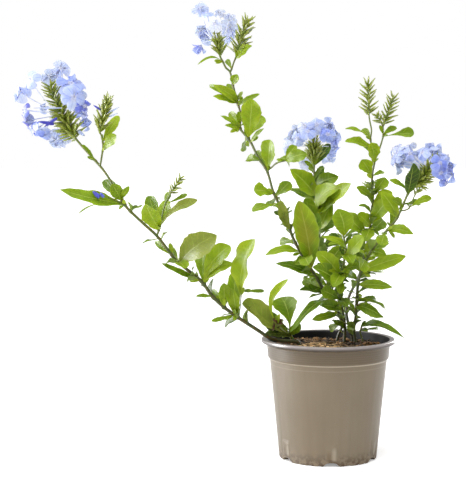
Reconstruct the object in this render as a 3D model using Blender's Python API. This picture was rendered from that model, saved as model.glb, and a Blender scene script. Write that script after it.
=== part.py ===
"""Potted cape leadwort: nursery pot, compost, leafy branches and pale blue flower heads.

Metres, +Z up, origin at the middle of the pot's underside, the front towards -Y.
"""

import math
import random

import bmesh
import bpy
from mathutils import Matrix, Vector

# Driving dimensions, in metres
RIM_RADIUS = 0.075
POT_HEIGHT = 0.134
FOOT_RADIUS = 0.0546
LEDGE_HEIGHT = 0.111
LEDGE_RADIUS = 0.0656
COLLAR_RADIUS = 0.0677
LIP_HEIGHT = 0.0045
WALL = 0.0018
POT_SIDES = 28
FLOOR = 0.0060
FOOT_RISE = 0.0040
PAD_RADIUS = 0.022
DRAIN_RADIUS = 0.0042
DRAIN_RING = 0.0345
NOTCH_WIDTH = 0.016
NOTCH_RISE = 0.0042
SOIL_HEIGHT = 0.1235
SOIL_MOUND = 0.0030
GAP = 0.0003
ROOT_DEPTH = 0.024

BLADE = 0.0010
CALYX_LENGTH = 0.0120
CALYX_RADIUS = 0.0016
CALYX_ROOM = 0.0042
TUBE_RADIUS = 0.0010
LIMB_RADIUS = 0.0142
LIMB_THICK = 0.0016

# Front layout: columns and rows of a sheet seen from an eye in front of the plant
EYE = Vector((-0.107, -1.456, 0.339))
EYE_TILT = math.radians(3.75)
SHEET_REACH = 1306.0
SHEET_MIDDLE = (233.0, 240.5)

CHANCE = random.Random(11)


def spot(col, row, depth):
    """World point at a sheet mark and a depth in millimetres behind the pot's axis."""
    across = (col - SHEET_MIDDLE[0]) / SHEET_REACH
    rise = (SHEET_MIDDLE[1] - row) / SHEET_REACH
    cos_t = math.cos(EYE_TILT)
    sin_t = math.sin(EYE_TILT)
    ray = Vector((across, cos_t + rise * sin_t, rise * cos_t - sin_t))
    reach = (depth * 0.001 - EYE.y) / ray.y
    return EYE + ray * reach


def finish(name, color, rough):
    """Plain principled finish."""
    made = bpy.data.materials.new(name)
    made.use_nodes = True
    shader = made.node_tree.nodes["Principled BSDF"]
    shader.inputs["Base Color"].default_value = (*color, 1.0)
    shader.inputs["Roughness"].default_value = rough
    made.diffuse_color = (*color, 1.0)
    return made


def solid(points, faces):
    """Closed mesh object from points and faces, its normals outward."""
    mesh = bpy.data.meshes.new("solid")
    mesh.from_pydata([tuple(p) for p in points], [], faces)
    work = bmesh.new()
    work.from_mesh(mesh)
    bmesh.ops.recalc_face_normals(work, faces=work.faces)
    if work.calc_volume(signed=True) < 0.0:
        bmesh.ops.reverse_faces(work, faces=work.faces)
    work.to_mesh(mesh)
    work.free()
    made = bpy.data.objects.new("solid", mesh)
    bpy.context.scene.collection.objects.link(made)
    return made


def settle(made, name, material):
    """Name an object, triangulate its mesh and give it one finish."""
    work = bmesh.new()
    work.from_mesh(made.data)
    bmesh.ops.triangulate(work, faces=work.faces)
    work.to_mesh(made.data)
    work.free()
    made.name = name
    made.data.name = name
    made.data.materials.clear()
    made.data.materials.append(material)
    return made


def joined(body, others, operation="UNION", solver="EXACT"):
    """Apply one Boolean with a collection of solids and remove the solids."""
    group = bpy.data.collections.new("group")
    bpy.context.scene.collection.children.link(group)
    for other in others:
        bpy.context.scene.collection.objects.unlink(other)
        group.objects.link(other)
    step = body.modifiers.new("join", "BOOLEAN")
    step.operation = operation
    step.operand_type = "COLLECTION"
    step.collection = group
    step.solver = solver
    with bpy.context.temp_override(object=body, active_object=body):
        bpy.ops.object.modifier_apply(modifier=step.name)
    for other in list(group.objects):
        bpy.data.objects.remove(other)
    bpy.data.collections.remove(group)
    return body


def fused(name, pieces, material):
    """One node from pieces that grow out of each other."""
    body = joined(pieces[0], pieces[1:], solver="MANIFOLD")
    return settle(body, name, material)


# Turned shapes

def turned(profile, sides):
    """Solid turned from a closed run of (radius, height) round the upright axis."""
    points = []
    rows = []
    for radius, height in profile:
        if radius < 1e-6:
            rows.append([len(points)] * sides)
            points.append((0.0, 0.0, height))
            continue
        rows.append(list(range(len(points), len(points) + sides)))
        for k in range(sides):
            turn = 2.0 * math.pi * k / sides
            points.append((radius * math.cos(turn), radius * math.sin(turn), height))
    faces = []
    for low, high in zip(rows, rows[1:]):
        for k in range(sides):
            n = (k + 1) % sides
            ring = [low[k], low[n], high[n], high[k]]
            face = list(dict.fromkeys(ring))
            if len(face) > 2:
                faces.append(face)
    return solid(points, faces)


def pot():
    """Tapered nursery pot: notched foot, drained floor, ledge, collar and rolled lip."""
    lip_low = POT_HEIGHT - LIP_HEIGHT
    profile = [
        (0.0, 0.0),
        (PAD_RADIUS, 0.0),
        (PAD_RADIUS + 0.002, FOOT_RISE),
        (FOOT_RADIUS - 0.0075, FOOT_RISE),
        (FOOT_RADIUS - 0.0065, 0.0),
        (FOOT_RADIUS, 0.0),
        (LEDGE_RADIUS, LEDGE_HEIGHT),
        (COLLAR_RADIUS, LEDGE_HEIGHT + 0.0022),
        (COLLAR_RADIUS + 0.0012, lip_low - 0.0018),
        (COLLAR_RADIUS + 0.0034, lip_low - 0.0010),
        (RIM_RADIUS, lip_low + 0.0004),
        (RIM_RADIUS, POT_HEIGHT - 0.0012),
        (RIM_RADIUS - 0.0012, POT_HEIGHT),
        (COLLAR_RADIUS + 0.0012, POT_HEIGHT),
        (COLLAR_RADIUS - 0.0006, POT_HEIGHT - 0.0016),
        (COLLAR_RADIUS - WALL, LEDGE_HEIGHT + 0.0040),
        (LEDGE_RADIUS - WALL, LEDGE_HEIGHT - 0.0010),
        (FOOT_RADIUS - WALL + 0.0004, FLOOR),
        (0.0, FLOOR),
    ]
    body = turned(profile, POT_SIDES)
    cutters = []
    for k in range(6):
        turn = math.radians(-90.0 + 60.0 * k)
        cutters.append(notch(turn))
        cutters.append(drain(turn + math.radians(30.0)))
    body = joined(body, cutters, "DIFFERENCE")
    return settle(body, "pot", finish("taupe_pot_plastic", (0.27, 0.225, 0.16), 0.42))


def notch(turn):
    """Cutter for a low arched opening through the foot ring."""
    half = NOTCH_WIDTH / 2.0
    outline = [(-half, -0.002), (half, -0.002), (half * 0.82, NOTCH_RISE * 0.8),
               (half * 0.5, NOTCH_RISE), (-half * 0.5, NOTCH_RISE),
               (-half * 0.82, NOTCH_RISE * 0.8)]
    out = Vector((math.cos(turn), math.sin(turn), 0.0))
    side = Vector((-math.sin(turn), math.cos(turn), 0.0))
    points = []
    for reach in (FOOT_RADIUS - 0.009, FOOT_RADIUS + 0.006):
        for across, height in outline:
            points.append(out * reach + side * across + Vector((0, 0, height)))
    count = len(outline)
    faces = [list(range(count)), list(range(2 * count - 1, count - 1, -1))]
    for k in range(count):
        n = (k + 1) % count
        faces.append([k, n, count + n, count + k])
    return solid(points, faces)


def drain(turn):
    """Cutter for a round hole in the floor."""
    cutter = turned([(0.0, 0.0), (DRAIN_RADIUS, 0.0), (DRAIN_RADIUS, 0.012), (0.0, 0.012)], 8)
    shift = (DRAIN_RING * math.cos(turn), DRAIN_RING * math.sin(turn), 0.0)
    cutter.data.transform(Matrix.Translation(shift))
    return cutter


def inner_radius(height):
    """Radius of the pot's inside at a height."""
    share = (height - FLOOR) / (LEDGE_HEIGHT - 0.0010 - FLOOR)
    low = FOOT_RADIUS - WALL + 0.0004
    if share < 1.0:
        return low + (LEDGE_RADIUS - WALL - low) * share
    share = (height - LEDGE_HEIGHT + 0.0010) / 0.0050
    return LEDGE_RADIUS - WALL + (COLLAR_RADIUS - LEDGE_RADIUS) * min(share, 1.0)


def soil_top(x, y):
    """Height of the compost: a low mound with bark crumbs by crossed waves."""
    radius = math.hypot(x, y) / COLLAR_RADIUS
    mound = SOIL_HEIGHT + SOIL_MOUND * (1.0 - radius * radius)
    crumb = math.sin(x * 420.0 + 1.7 * math.sin(y * 310.0))
    crumb += math.sin(y * 460.0 + 1.9 * math.sin(x * 370.0 + 0.8))
    crumb += 0.7 * math.sin((x + y) * 730.0)
    return mound + 0.0008 * crumb


def soil(holes):
    """Compost body that fills the pot, with a plain hole for every stem."""
    sides = POT_SIDES
    low = FLOOR + GAP
    ledge = LEDGE_HEIGHT - 0.0010
    wall = [(inner_radius(low) - GAP, low), (inner_radius(ledge) - GAP, ledge),
            (inner_radius(LEDGE_HEIGHT + 0.0045) - GAP, LEDGE_HEIGHT + 0.0045)]
    edge = wall[-1][0]
    points = [(0.0, 0.0, low)]
    rows = [[0] * sides]
    for radius, height in wall:
        rows.append(list(range(len(points), len(points) + sides)))
        for k in range(sides):
            turn = 2.0 * math.pi * k / sides
            points.append((radius * math.cos(turn), radius * math.sin(turn), height))
    for ring in range(4):
        radius = edge * (1.0 - ring / 4.0)
        rows.append(list(range(len(points), len(points) + sides)))
        for k in range(sides):
            turn = 2.0 * math.pi * (k + 0.5 * (ring % 2)) / sides
            x = radius * math.cos(turn)
            y = radius * math.sin(turn)
            points.append((x, y, soil_top(x, y)))
    rows.append([len(points)] * sides)
    points.append((0.0, 0.0, soil_top(0.0, 0.0)))
    faces = []
    for under, over in zip(rows, rows[1:]):
        for k in range(sides):
            n = (k + 1) % sides
            for face in ([under[k], under[n], over[k]], [under[n], over[n], over[k]]):
                if len(set(face)) == 3:
                    faces.append(face)
    body = solid(points, faces)
    body = joined(body, [stem_hole(*hole) for hole in holes], "DIFFERENCE")
    return settle(body, "compost", finish("bark_compost", (0.16, 0.075, 0.03), 0.95))


def stem_hole(point, radius):
    """Cutter for a plain upright hole round a stem's foot."""
    low = SOIL_HEIGHT - ROOT_DEPTH - 0.001
    profile = [(0.0, low), (radius, low), (radius, POT_HEIGHT + 0.01), (0.0, POT_HEIGHT + 0.01)]
    cutter = turned(profile, 8)
    cutter.data.transform(Matrix.Translation((point[0], point[1], 0.0)))
    return cutter


# Shapes that grow along a path

def frames(path):
    """Direction, side and up of every point of a path, turned as little as possible."""
    count = len(path)
    dirs = []
    for k in range(count):
        step = path[min(k + 1, count - 1)] - path[max(k - 1, 0)]
        dirs.append(step.normalized())
    side = dirs[0].orthogonal().normalized()
    out = []
    for along in dirs:
        side = (side - along * side.dot(along)).normalized()
        out.append((along, side, along.cross(side)))
    return out


def tube(path, radii, sides=5):
    """Closed round bar along a path with a radius at every point."""
    points = []
    faces = []
    for centre, radius, (_, side, up) in zip(path, radii, frames(path)):
        for k in range(sides):
            turn = 2.0 * math.pi * k / sides
            points.append(centre + (side * math.cos(turn) + up * math.sin(turn)) * radius)
    for ring in range(len(path) - 1):
        for k in range(sides):
            a = ring * sides + k
            b = ring * sides + (k + 1) % sides
            faces.append([a, b, b + sides])
            faces.append([a, b + sides, a + sides])
    last = (len(path) - 1) * sides
    faces.append(list(range(sides))[::-1])
    faces.append(list(range(last, last + sides)))
    return solid(points, faces)


def stem(path, thick, thin, sides=5):
    """Stem that thins evenly along its path."""
    lengths = [0.0]
    for a, b in zip(path, path[1:]):
        lengths.append(lengths[-1] + (b - a).length)
    radii = [thick + (thin - thick) * run / lengths[-1] for run in lengths]
    return tube(path, radii, sides)


def leaf(base, tip, width, arch=0.06, roll=0.0, wave=0.0, sweep=0.0):
    """Spatulate blade with a winged stalk, V-folded on its midrib, waved at the edges.

    The half width along the blade swells past the middle and closes to a blunt point.
    Arch lifts the midrib by that share of the length, sweep bows it to the right in the
    blade's plane and roll turns the blade on its rib.
    """
    run = tip - base
    length = run.length
    along = run.normalized()
    facing = Vector((0.0, -1.0, 0.5))
    side = along.cross(facing).normalized()
    side.rotate(Matrix.Rotation(math.radians(roll), 3, along))
    up = side.cross(along).normalized()
    if length > 0.046:
        stations = [(0.0, 0.07), (0.18, 0.2), (0.4, 0.72), (0.66, 1.0), (0.87, 0.7)]
    elif length > 0.022:
        stations = [(0.0, 0.10), (0.24, 0.34), (0.6, 1.0), (0.86, 0.68)]
    else:
        stations = [(0.0, 0.15), (0.45, 0.85), (0.78, 0.85)]
    half = width * 0.6
    phase = CHANCE.uniform(0.0, 6.28)
    points = []
    faces = []
    for share, swell in stations:
        lift = 4.0 * arch * length * share * (1.0 - share)
        bow = 4.0 * sweep * length * share * (1.0 - share)
        rib = base + run * share + up * lift + side * bow
        reach = max(half * swell, 0.0008)
        thick = BLADE * (1.0 - 0.35 * share)
        ripple = wave * math.sin(phase + 9.0 * share) * swell
        other = wave * math.sin(phase + 2.2 + 8.0 * share) * swell
        fold = 0.22 * reach
        points.append(rib - side * reach + up * (fold + ripple))
        points.append(rib + up * thick * 0.5)
        points.append(rib + side * reach + up * (fold + other))
        points.append(rib - up * thick * 0.5)
    end = len(points)
    points.append(tip)
    for ring in range(len(stations) - 1):
        a = ring * 4
        b = a + 4
        for edge, mid in ((0, 1), (2, 1), (0, 3), (2, 3)):
            faces.append([a + edge, a + mid, b + mid])
            faces.append([a + edge, b + mid, b + edge])
    last = end - 4
    for k in range(4):
        faces.append([last + k, last + (k + 1) % 4, end])
    faces.append([0, 1, 3])
    faces.append([1, 2, 3])
    return solid(points, faces)


def spindle(base, along, length, radius):
    """Three-sided calyx: narrow foot, ribbed belly and a pointed tip."""
    side = along.orthogonal().normalized()
    up = along.cross(side)
    points = [base]
    for k in range(3):
        turn = 2.0 * math.pi * k / 3.0
        out = (side * math.cos(turn) + up * math.sin(turn)) * radius
        points.append(base + along * length * 0.55 + out)
    points.append(base + along * length)
    faces = []
    for k in range(3):
        n = (k + 1) % 3
        faces.append([0, 1 + n, 1 + k])
        faces.append([1 + k, 1 + n, 4])
    return solid(points, faces)


def along_path(path, share):
    """Point and direction at a share of a path's length."""
    lengths = [(b - a).length for a, b in zip(path, path[1:])]
    left = share * sum(lengths)
    for k, length in enumerate(lengths):
        if left <= length or k == len(lengths) - 1:
            a = path[k]
            b = path[k + 1]
            return a.lerp(b, min(left / length, 1.0)), (b - a).normalized()
        left -= length


def calyces(path, count, start=0.0, end=1.0, wide=58.0, narrow=16.0, long=1.0, short=0.6,
            clear=()):
    """Calyces set round a spike by the golden angle, leaning out less towards its top.

    One is left out where it would come near a run in clear.
    """
    made = []
    for k in range(count):
        share = k / max(count - 1, 1)
        point, along = along_path(path, start + (end - start) * share)
        turn = math.radians(137.5 * k + 20.0)
        side = along.orthogonal().normalized()
        out = side * math.cos(turn) + along.cross(side) * math.sin(turn)
        lean = math.radians(wide + (narrow - wide) * share)
        way = along * math.cos(lean) + out * math.sin(lean)
        length = CALYX_LENGTH * (long + (short - long) * share)
        if any(run_gap(point, point + way * length, *run) < CALYX_ROOM for run in clear):
            continue
        made.append(spindle(point, way, length, CALYX_RADIUS * (0.65 + 0.35 * (1 - share))))
    return made


def run_gap(a, b, c, d):
    """Least distance between two straight runs, sampled along both."""
    least = 1.0
    for i in range(9):
        p = a.lerp(b, i / 8.0)
        run = d - c
        share = max(0.0, min(1.0, (p - c).dot(run) / run.length_squared))
        least = min(least, (p - c - run * share).length)
    return least


def bent(root, elbow, centre, share):
    """Point and direction on the curve that leaves root towards elbow and ends at centre."""
    first = root.lerp(elbow, share)
    second = elbow.lerp(centre, share)
    return first.lerp(second, share), (second - first).normalized()


def corolla(root, elbow, centre, bend=0.14, spin=0.0):
    """Open flower: calyx, long slender tube and a flat limb of five rounded lobes."""
    along = (centre - elbow).normalized()
    side = along.orthogonal().normalized()
    side.rotate(Matrix.Rotation(spin, 3, along))
    up = along.cross(side)
    points = []
    faces = []
    rings = [(0.0, 0.6), (0.22, 1.45), (0.93, 0.85)]
    sides = 5
    for share, swell in rings:
        middle, way = bent(root, elbow, centre, share)
        flat = (side - way * side.dot(way)).normalized()
        over = way.cross(flat)
        for k in range(sides):
            turn = 2.0 * math.pi * (k + 0.5) / sides
            out = flat * math.cos(turn) + over * math.sin(turn)
            points.append(middle + out * TUBE_RADIUS * swell)
    for ring in range(len(rings) - 1):
        for k in range(sides):
            a = ring * sides + k
            b = ring * sides + (k + 1) % sides
            faces.append([a, b, b + sides])
            faces.append([a, b + sides, a + sides])
    faces.append(list(range(sides))[::-1])
    throat = (len(rings) - 1) * sides
    rim = len(points)
    lobe = ((0.0, 0.34, 0.1), (0.27, 0.95, 0.7), (0.73, 0.95, 0.7))
    for k in range(5):
        size = CHANCE.uniform(0.93, 1.04)
        for step, reach, curl in lobe:
            turn = 2.0 * math.pi * (k + step) / 5.0
            out = side * math.cos(turn) + up * math.sin(turn)
            drop = -bend * curl * LIMB_RADIUS * CHANCE.uniform(0.6, 1.3)
            points.append(centre + out * LIMB_RADIUS * reach * size + along * drop)
    hub = len(points)
    points.append(centre + along * LIMB_THICK * 0.25)
    for k in range(15):
        n = (k + 1) % 15
        faces.append([hub, rim + k, rim + n])
    for k in range(5):
        prior = throat + (k - 1) % 5
        here = throat + k
        faces.append([rim + 3 * k, prior, here])
        for step in range(3):
            a = rim + 3 * k + step
            b = rim + (3 * k + step + 1) % 15
            faces.append([a, here, b])
    return solid(points, faces)


def nearest_on(paths, col, row):
    """Point of a branch's stems closest to a sheet mark, and its mark."""
    best = None
    for path in paths:
        for a, b in zip(path, path[1:]):
            for k in range(9):
                share = k / 8.0
                mark = [a[i] + (b[i] - a[i]) * share for i in range(3)]
                gap = math.hypot(mark[0] - col, mark[1] - row)
                if best is None or gap < best[0]:
                    best = (gap, mark)
    return spot(*best[1]), best[1]


def leafy(name, stems, leaves, extra, color, foot=None):
    """Leafy branch: stems along their marks, leaves on the nearest stem, one body.

    A stem is (marks, thick, thin) and a leaf (column, row, tip column, tip row, depth
    of the tip in front of (-) or behind its foot, width, arch, roll, wave and, where
    the midrib bows sideways, sweep), its lengths in millimetres.
    """
    pieces = []
    for index, (marks, thick, thin) in enumerate(stems):
        path = [spot(*mark) for mark in marks]
        if index == 0 and foot:
            path = [Vector((foot[0], foot[1], SOIL_HEIGHT - ROOT_DEPTH)),
                    Vector((foot[0], foot[1], SOIL_HEIGHT + 0.004))] + path
        pieces.append(stem(path, thick * 0.001, thin * 0.001, 4 if index else 5))
    paths = [marks for marks, _, _ in stems]
    for col, row, tip_col, tip_row, depth, width, arch, roll, wave, *sweep in leaves:
        base, mark = nearest_on(paths, col, row)
        tip = spot(tip_col, tip_row, mark[2] + depth)
        pieces.append(leaf(base, tip, width * 0.001, arch, roll, wave * 0.001, *sweep))
    pieces += extra
    return fused(name, pieces, finish(name + "_green", color, 0.5))


def bloom(name, axis, flowers, color):
    """Open flowers of one head on their short length of flower stalk.

    A flower is (column, row, side, share): its limb's sheet mark, whether it stands
    in front (-1) or behind (1), and where on the stalk its tube starts.
    """
    path = [spot(*mark) for mark in axis]
    pieces = [stem(path, 0.0017, 0.0014)]
    runs = []
    for number, (col, row, side, share) in enumerate(flowers):
        root, stalk = along_path(path, share)
        flat = spot(col, row, root.y * 1000.0)
        across = (flat - root).length
        away = math.sqrt(max(0.033 ** 2 - across ** 2, 0.000036)) * side
        centre = spot(col, row, (root.y + away) * 1000.0)
        out = centre - root
        out = (out - stalk * out.dot(stalk)).normalized()
        elbow = root + (out + stalk * 0.3).normalized() * 0.012
        pieces.append(corolla(root, elbow, centre, 0.14, 1.3 * number))
        knee, _ = bent(root, elbow, centre, 0.4)
        runs.append((root, knee))
        runs.append((knee, centre))
    return fused(name, pieces, finish(name + "_petals", color, 0.45)), runs


def bud_cone(name, axis, count, color, clear):
    """Closed cone of buds above the open flowers."""
    path = [spot(*mark) for mark in axis]
    pieces = [stem(path, 0.0014, 0.0008)]
    pieces += calyces(path, count, 0.3, 0.95, 30.0, 12.0, 0.8, 0.6, clear)
    return fused(name, pieces, finish(name + "_green", color, 0.6))


# The plant: sheet marks are (column, row, depth) and lengths are in millimetres

LEFT_FOOT = (-0.0330, -0.0060)
BASAL_FOOT = (-0.0400, 0.0140)
MIDDLE_FOOT = (0.0200, 0.0240)
HEAD_FOOT = (0.0130, 0.0350)
CENTRE_FOOT = (0.0190, 0.0100)
TALL_FOOT = (0.0290, 0.0210)
RIGHT_FOOT = (0.0310, 0.0070)
LOW_FOOT = (0.0400, 0.0150)

LEFT_FLOWERS = [
    (71, 82, -1, 0.55), (72, 95, 1, 0.60), (61, 68, 1, 0.70), (50, 76, 1, 0.70),
    (30, 80, -1, 0.65), (20, 90, 1, 0.60), (22, 111, -1, 0.50), (24, 122, 1, 0.35),
    (36, 131, -1, 0.30), (45, 123, -1, 0.40), (41, 107, -1, 0.60), (56, 140, -1, 0.20),
    (64, 144, 1, 0.25), (85, 108, -1, 0.45), (88, 127, 1, 0.25),
]
TOP_FLOWERS = [
    (199, 6, 1, 0.65), (207, 13, -1, 0.65), (203, 32, -1, 0.60), (208, 39, 1, 0.50),
    (215, 25, -1, 0.55), (218, 11, 1, 0.65), (230, 14, -1, 0.65), (231, 23, 1, 0.55),
    (232, 38, -1, 0.40), (201, 53, -1, 0.30),
]
MIDDLE_FLOWERS = [
    (286, 148, -1, 0.45), (292, 131, 1, 0.60), (305, 125, -1, 0.65), (303, 138, -1, 0.60),
    (313, 130, 1, 0.60), (325, 133, -1, 0.65), (327, 120, 1, 0.65), (334, 137, 1, 0.50),
    (334, 149, 1, 0.40), (329, 160, 1, 0.25), (304, 164, 1, 0.25),
]
RIGHT_FLOWERS = [
    (398, 155, -1, 0.50), (396, 167, 1, 0.35), (405, 146, 1, 0.60), (417, 156, -1, 0.60),
    (430, 149, 1, 0.65), (437, 160, -1, 0.65), (445, 165, 1, 0.65), (452, 160, -1, 0.60),
    (447, 182, -1, 0.40), (453, 173, 1, 0.50),
]


def spike(marks, count, clear=(), end=0.96):
    """Calyces all the way up a flower spike whose stalk belongs to a branch."""
    return calyces([spot(*mark) for mark in marks], count, 0.06, end, 58.0, 28.0, 1.0, 0.7,
                   clear)


def left_branch(clear):
    """Long arching branch over the rim, its bud spikes and its leaf clusters."""
    main = [(294, 341.5, -7), (285, 341, -10), (275, 339.5, -14), (267, 336.5, -19),
            (259, 331, -23), (231, 312.5, -31), (213, 297, -36), (201, 281, -40),
            (178, 262, -46), (168, 250, -48), (157, 236, -51), (145, 225, -53),
            (130, 211, -54), (125, 205, -54), (120, 197, -53), (110, 180, -50),
            (100, 166, -45), (76, 139, -36), (66, 122, -32)]
    shoot = [(157, 236, -51), (158.5, 231, -54), (161, 222, -58), (165, 205, -62),
             (171, 193, -65), (181, 178, -68)]
    fork = [(100, 166, -45), (101.5, 158, -49), (103, 147, -54), (102, 137, -58),
            (99.5, 130, -60), (103, 116, -63), (108, 99, -67)]
    stray = [(125, 205, -54), (114, 200, -63), (103, 196, -70)]
    leaves = [
        (124, 205, 60, 190.5, -18, 13, 0.05, 15, 1.0, -0.06),
        (122, 202, 104, 180, 23, 10, 0.08, 0, 0.6), (122, 201, 112, 184, -14, 11, 0.05, -20, 0.6),
        (124, 205, 78, 204, 32, 5, 0.04, 60, 0.3), (121, 199, 129, 186, -14, 5, 0.15, 30, 0.3),
        (158, 229, 149, 196, 18, 11, 0.05, 0, 0.6), (158, 229, 146, 206, -18, 16, 0.06, -15, 1.0),
        (160, 227, 168, 200, 9, 13, 0.05, 10, 0.8),
        (160, 226, 196, 200, -14, 10, 0.08, 10, 0.5, -0.08),
        (166, 203, 187, 194, 14, 4, 0.2, 30, 0.3), (103, 150, 116, 135, -12, 10, 0.05, 0, 0.6),
        (103, 143, 119, 115, 14, 9, 0.06, 10, 0.6), (97, 160, 82, 145, -12, 4, 0.05, 0, 0.2),
        (172, 255, 155, 241, 14, 6, 0.05, 0, 0.3), (201, 281, 162, 263, -14, 6, -0.04, 0, 0.3),
        (180, 263, 216, 235, -23, 25, 0.08, 10, 1.4, -0.16),
        (203, 284, 208, 249, 14, 15, 0.06, 0, 0.8, -0.10),
        (203, 284, 232, 250, -18, 17, 0.07, 10, 1.2, -0.10),
        (224, 307, 212, 289, 9, 6, 0.05, 0, 0.3), (214, 298, 221, 303, 30, 13, 0.06, 0, 0.6),
        (178, 262, 185, 269, -27, 12, 0.08, 0, 0.5), (130, 211, 136, 205, 30, 12, 0.06, 0, 0.5),
        (224, 306, 224, 283, -9, 10, 0.05, 0, 0.5),
        (240, 318, 254, 241, -18, 20, 0.05, -10, 1.8, -0.11),
        (238, 317, 239, 266, 28, 13, 0.05, 0, 1.0, -0.08),
        (244, 320, 265, 290, 18, 5, 0.15, 20, 0.3), (213, 297, 197, 295.5, -9, 4, 0.05, 0, 0.2),
        (235, 316, 212, 320, -14, 4, -0.05, 0, 0.2),
    ]
    extra = spike([(76, 139, -36), (66, 122, -32)], 10, clear, 0.85)
    extra += spike([(99.5, 130, -60), (103, 116, -63), (108, 99, -67)], 13)
    extra += spike([(171, 193, -65), (181, 178, -68)], 7)
    closed = [((109, 198, -66), (-0.6, -0.5, 0.6), 0.017),
              ((103.6, 196.3, -69.5), (-0.9, -0.2, 0.2), 0.015)]
    for mark, way, length in closed:
        extra.append(spindle(spot(*mark), Vector(way).normalized(), length, 0.002))
    stems = [(main, 2.2, 1.2), (shoot, 1.1, 0.7), (fork, 1.1, 0.7), (stray, 0.9, 0.7)]
    return leafy("left_branch", stems, leaves, extra, (0.18, 0.30, 0.03), LEFT_FOOT)


def basal_shoot():
    """Short shoot inside the left rim with broad leaves and a dried stub."""
    main = [(291, 337, 13), (290.5, 333, 11), (289, 329, 9)]
    stub = [(290, 335, 12), (283, 331, 8), (277, 324, 6)]
    leaves = [
        (288, 336, 246, 304, -32, 20, 0.07, 10, 1.2, -0.06),
        (289, 331, 262, 302, 28, 10, 0.08, 0, 0.6), (289, 330, 287, 279, -18, 11, 0.25, -80, 0.5),
        (290, 331, 284, 298, 23, 22, 0.06, -10, 1.0), (291, 334, 298, 323, -9, 7, 0.1, 20, 0.3),
    ]
    stems = [(main, 1.6, 1.0), (stub, 1.0, 0.9)]
    return leafy("basal_left_shoot", stems, leaves, [], (0.16, 0.24, 0.03), BASAL_FOOT)


def middle_branch(clear):
    """Tall branch that leans left and carries the top flower head and a bud spike."""
    main = [(345, 328, 20), (341, 318, 15), (333, 305, 8), (325, 292, 2), (318, 280, -3),
            (310, 268, -7), (301, 253, -10), (294, 240, -11), (288, 225, -11), (281, 208, -9),
            (275, 196, -6), (272, 188, -4), (267, 171, 1), (258, 157, 6), (250, 141, 12),
            (240, 128, 18), (241, 116, 22), (236, 97, 28), (233, 85, 32), (230, 72, 36),
            (226, 68, 36), (223, 62, 36), (220, 56, 36), (219, 47, 36)]
    bud_twig = [(230, 73, 36), (232, 68, 39), (234, 62, 43), (237, 54, 47), (248, 19, 56)]
    side = [(267, 171, 1), (271, 168, -5), (277, 163, -11), (288, 160, -18)]
    leaves = [
        (236, 58, 257, 45, -14, 9, 0.12, -20, 0.6), (231, 70, 226, 59, 12, 5, 0.1, 0, 0.2),
        (223, 62, 198, 62, -12, 5, 0.2, 30, 0.4), (233, 86, 236, 75, -12, 8, 0.08, 0, 0.3),
        (237, 103, 216, 85, -16, 14, 0.08, 0, 0.9), (237, 100, 209, 84, 16, 4, 0.1, 0, 0.2),
        (239, 106, 259, 94, -12, 5, 0.2, 20, 0.3), (240, 126, 230, 113, 12, 7, 0.08, 0, 0.4),
        (240, 125, 238, 112, -12, 6, 0.05, 0, 0.3), (249, 139, 252, 99, -21, 21, 0.08, 10, 1.4),
        (248, 138, 263, 116, 5, 13, 0.08, -20, 0.8), (251, 142, 264, 128.5, -12, 4, 0.08, 0, 0.2),
        (261, 161, 245.5, 159, 12, 9, 0.06, 0, 0.4), (268, 172, 270, 141, -14, 15, 0.07, 0, 1.0),
        (266, 169, 256, 150, 18, 7, 0.06, 0, 0.4), (277, 164, 288, 157, -9, 5, 0.1, 0, 0.2),
        (284, 161, 305, 155, -18, 12, 0.08, 10, 0.7), (286, 161, 296, 145, 14, 9, 0.08, -10, 0.5),
        (274, 194, 254, 190, -9, 12, 0.07, 0, 0.7), (276, 198, 288, 183, -14, 10, 0.06, 0, 0.6),
        (280, 206, 253, 210, -14, 9, 0.1, 10, 0.5), (288, 225, 282, 202, 14, 11, 0.05, 0, 0.6),
        (311, 269, 302, 206, -28, 29, 0.06, -5, 1.6), (301, 253, 265, 255, -18, 9, 0.15, 20, 0.6),
        (295, 243, 279, 241, 14, 7, 0.08, 0, 0.4), (317, 278, 279, 260.5, -14, 10, 0.08, 15, 0.6),
        (305, 260, 295, 263, -12, 8, 0.1, 20, 0.3), (303, 256, 309, 266, -30, 13, 0.08, 0, 0.6),
        (276, 197, 271, 206, 28, 11, 0.06, 0, 0.5), (249, 139, 243, 147, 27, 12, 0.06, 0, 0.5),
        (324, 291, 303, 282, 14, 10, 0.05, 0, 0.3), (327, 295, 300, 289.5, -14, 11, 0.05, 20, 0.5),
        (331, 301, 290, 331, -64, 11, 0.22, 10, 0.6), (339, 314, 313, 319, -23, 7, 0.06, 0, 0.4),
    ]
    extra = spike([(220, 56, 36), (219, 47, 36)], 7, clear, 0.8)
    extra += spike([(237, 54, 47), (248, 19, 56)], 14, clear)
    stems = [(main, 2.0, 1.1), (bud_twig, 1.0, 0.7), (side, 1.0, 0.7)]
    return leafy("middle_branch", stems, leaves, extra, (0.20, 0.33, 0.03), MIDDLE_FOOT)


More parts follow.
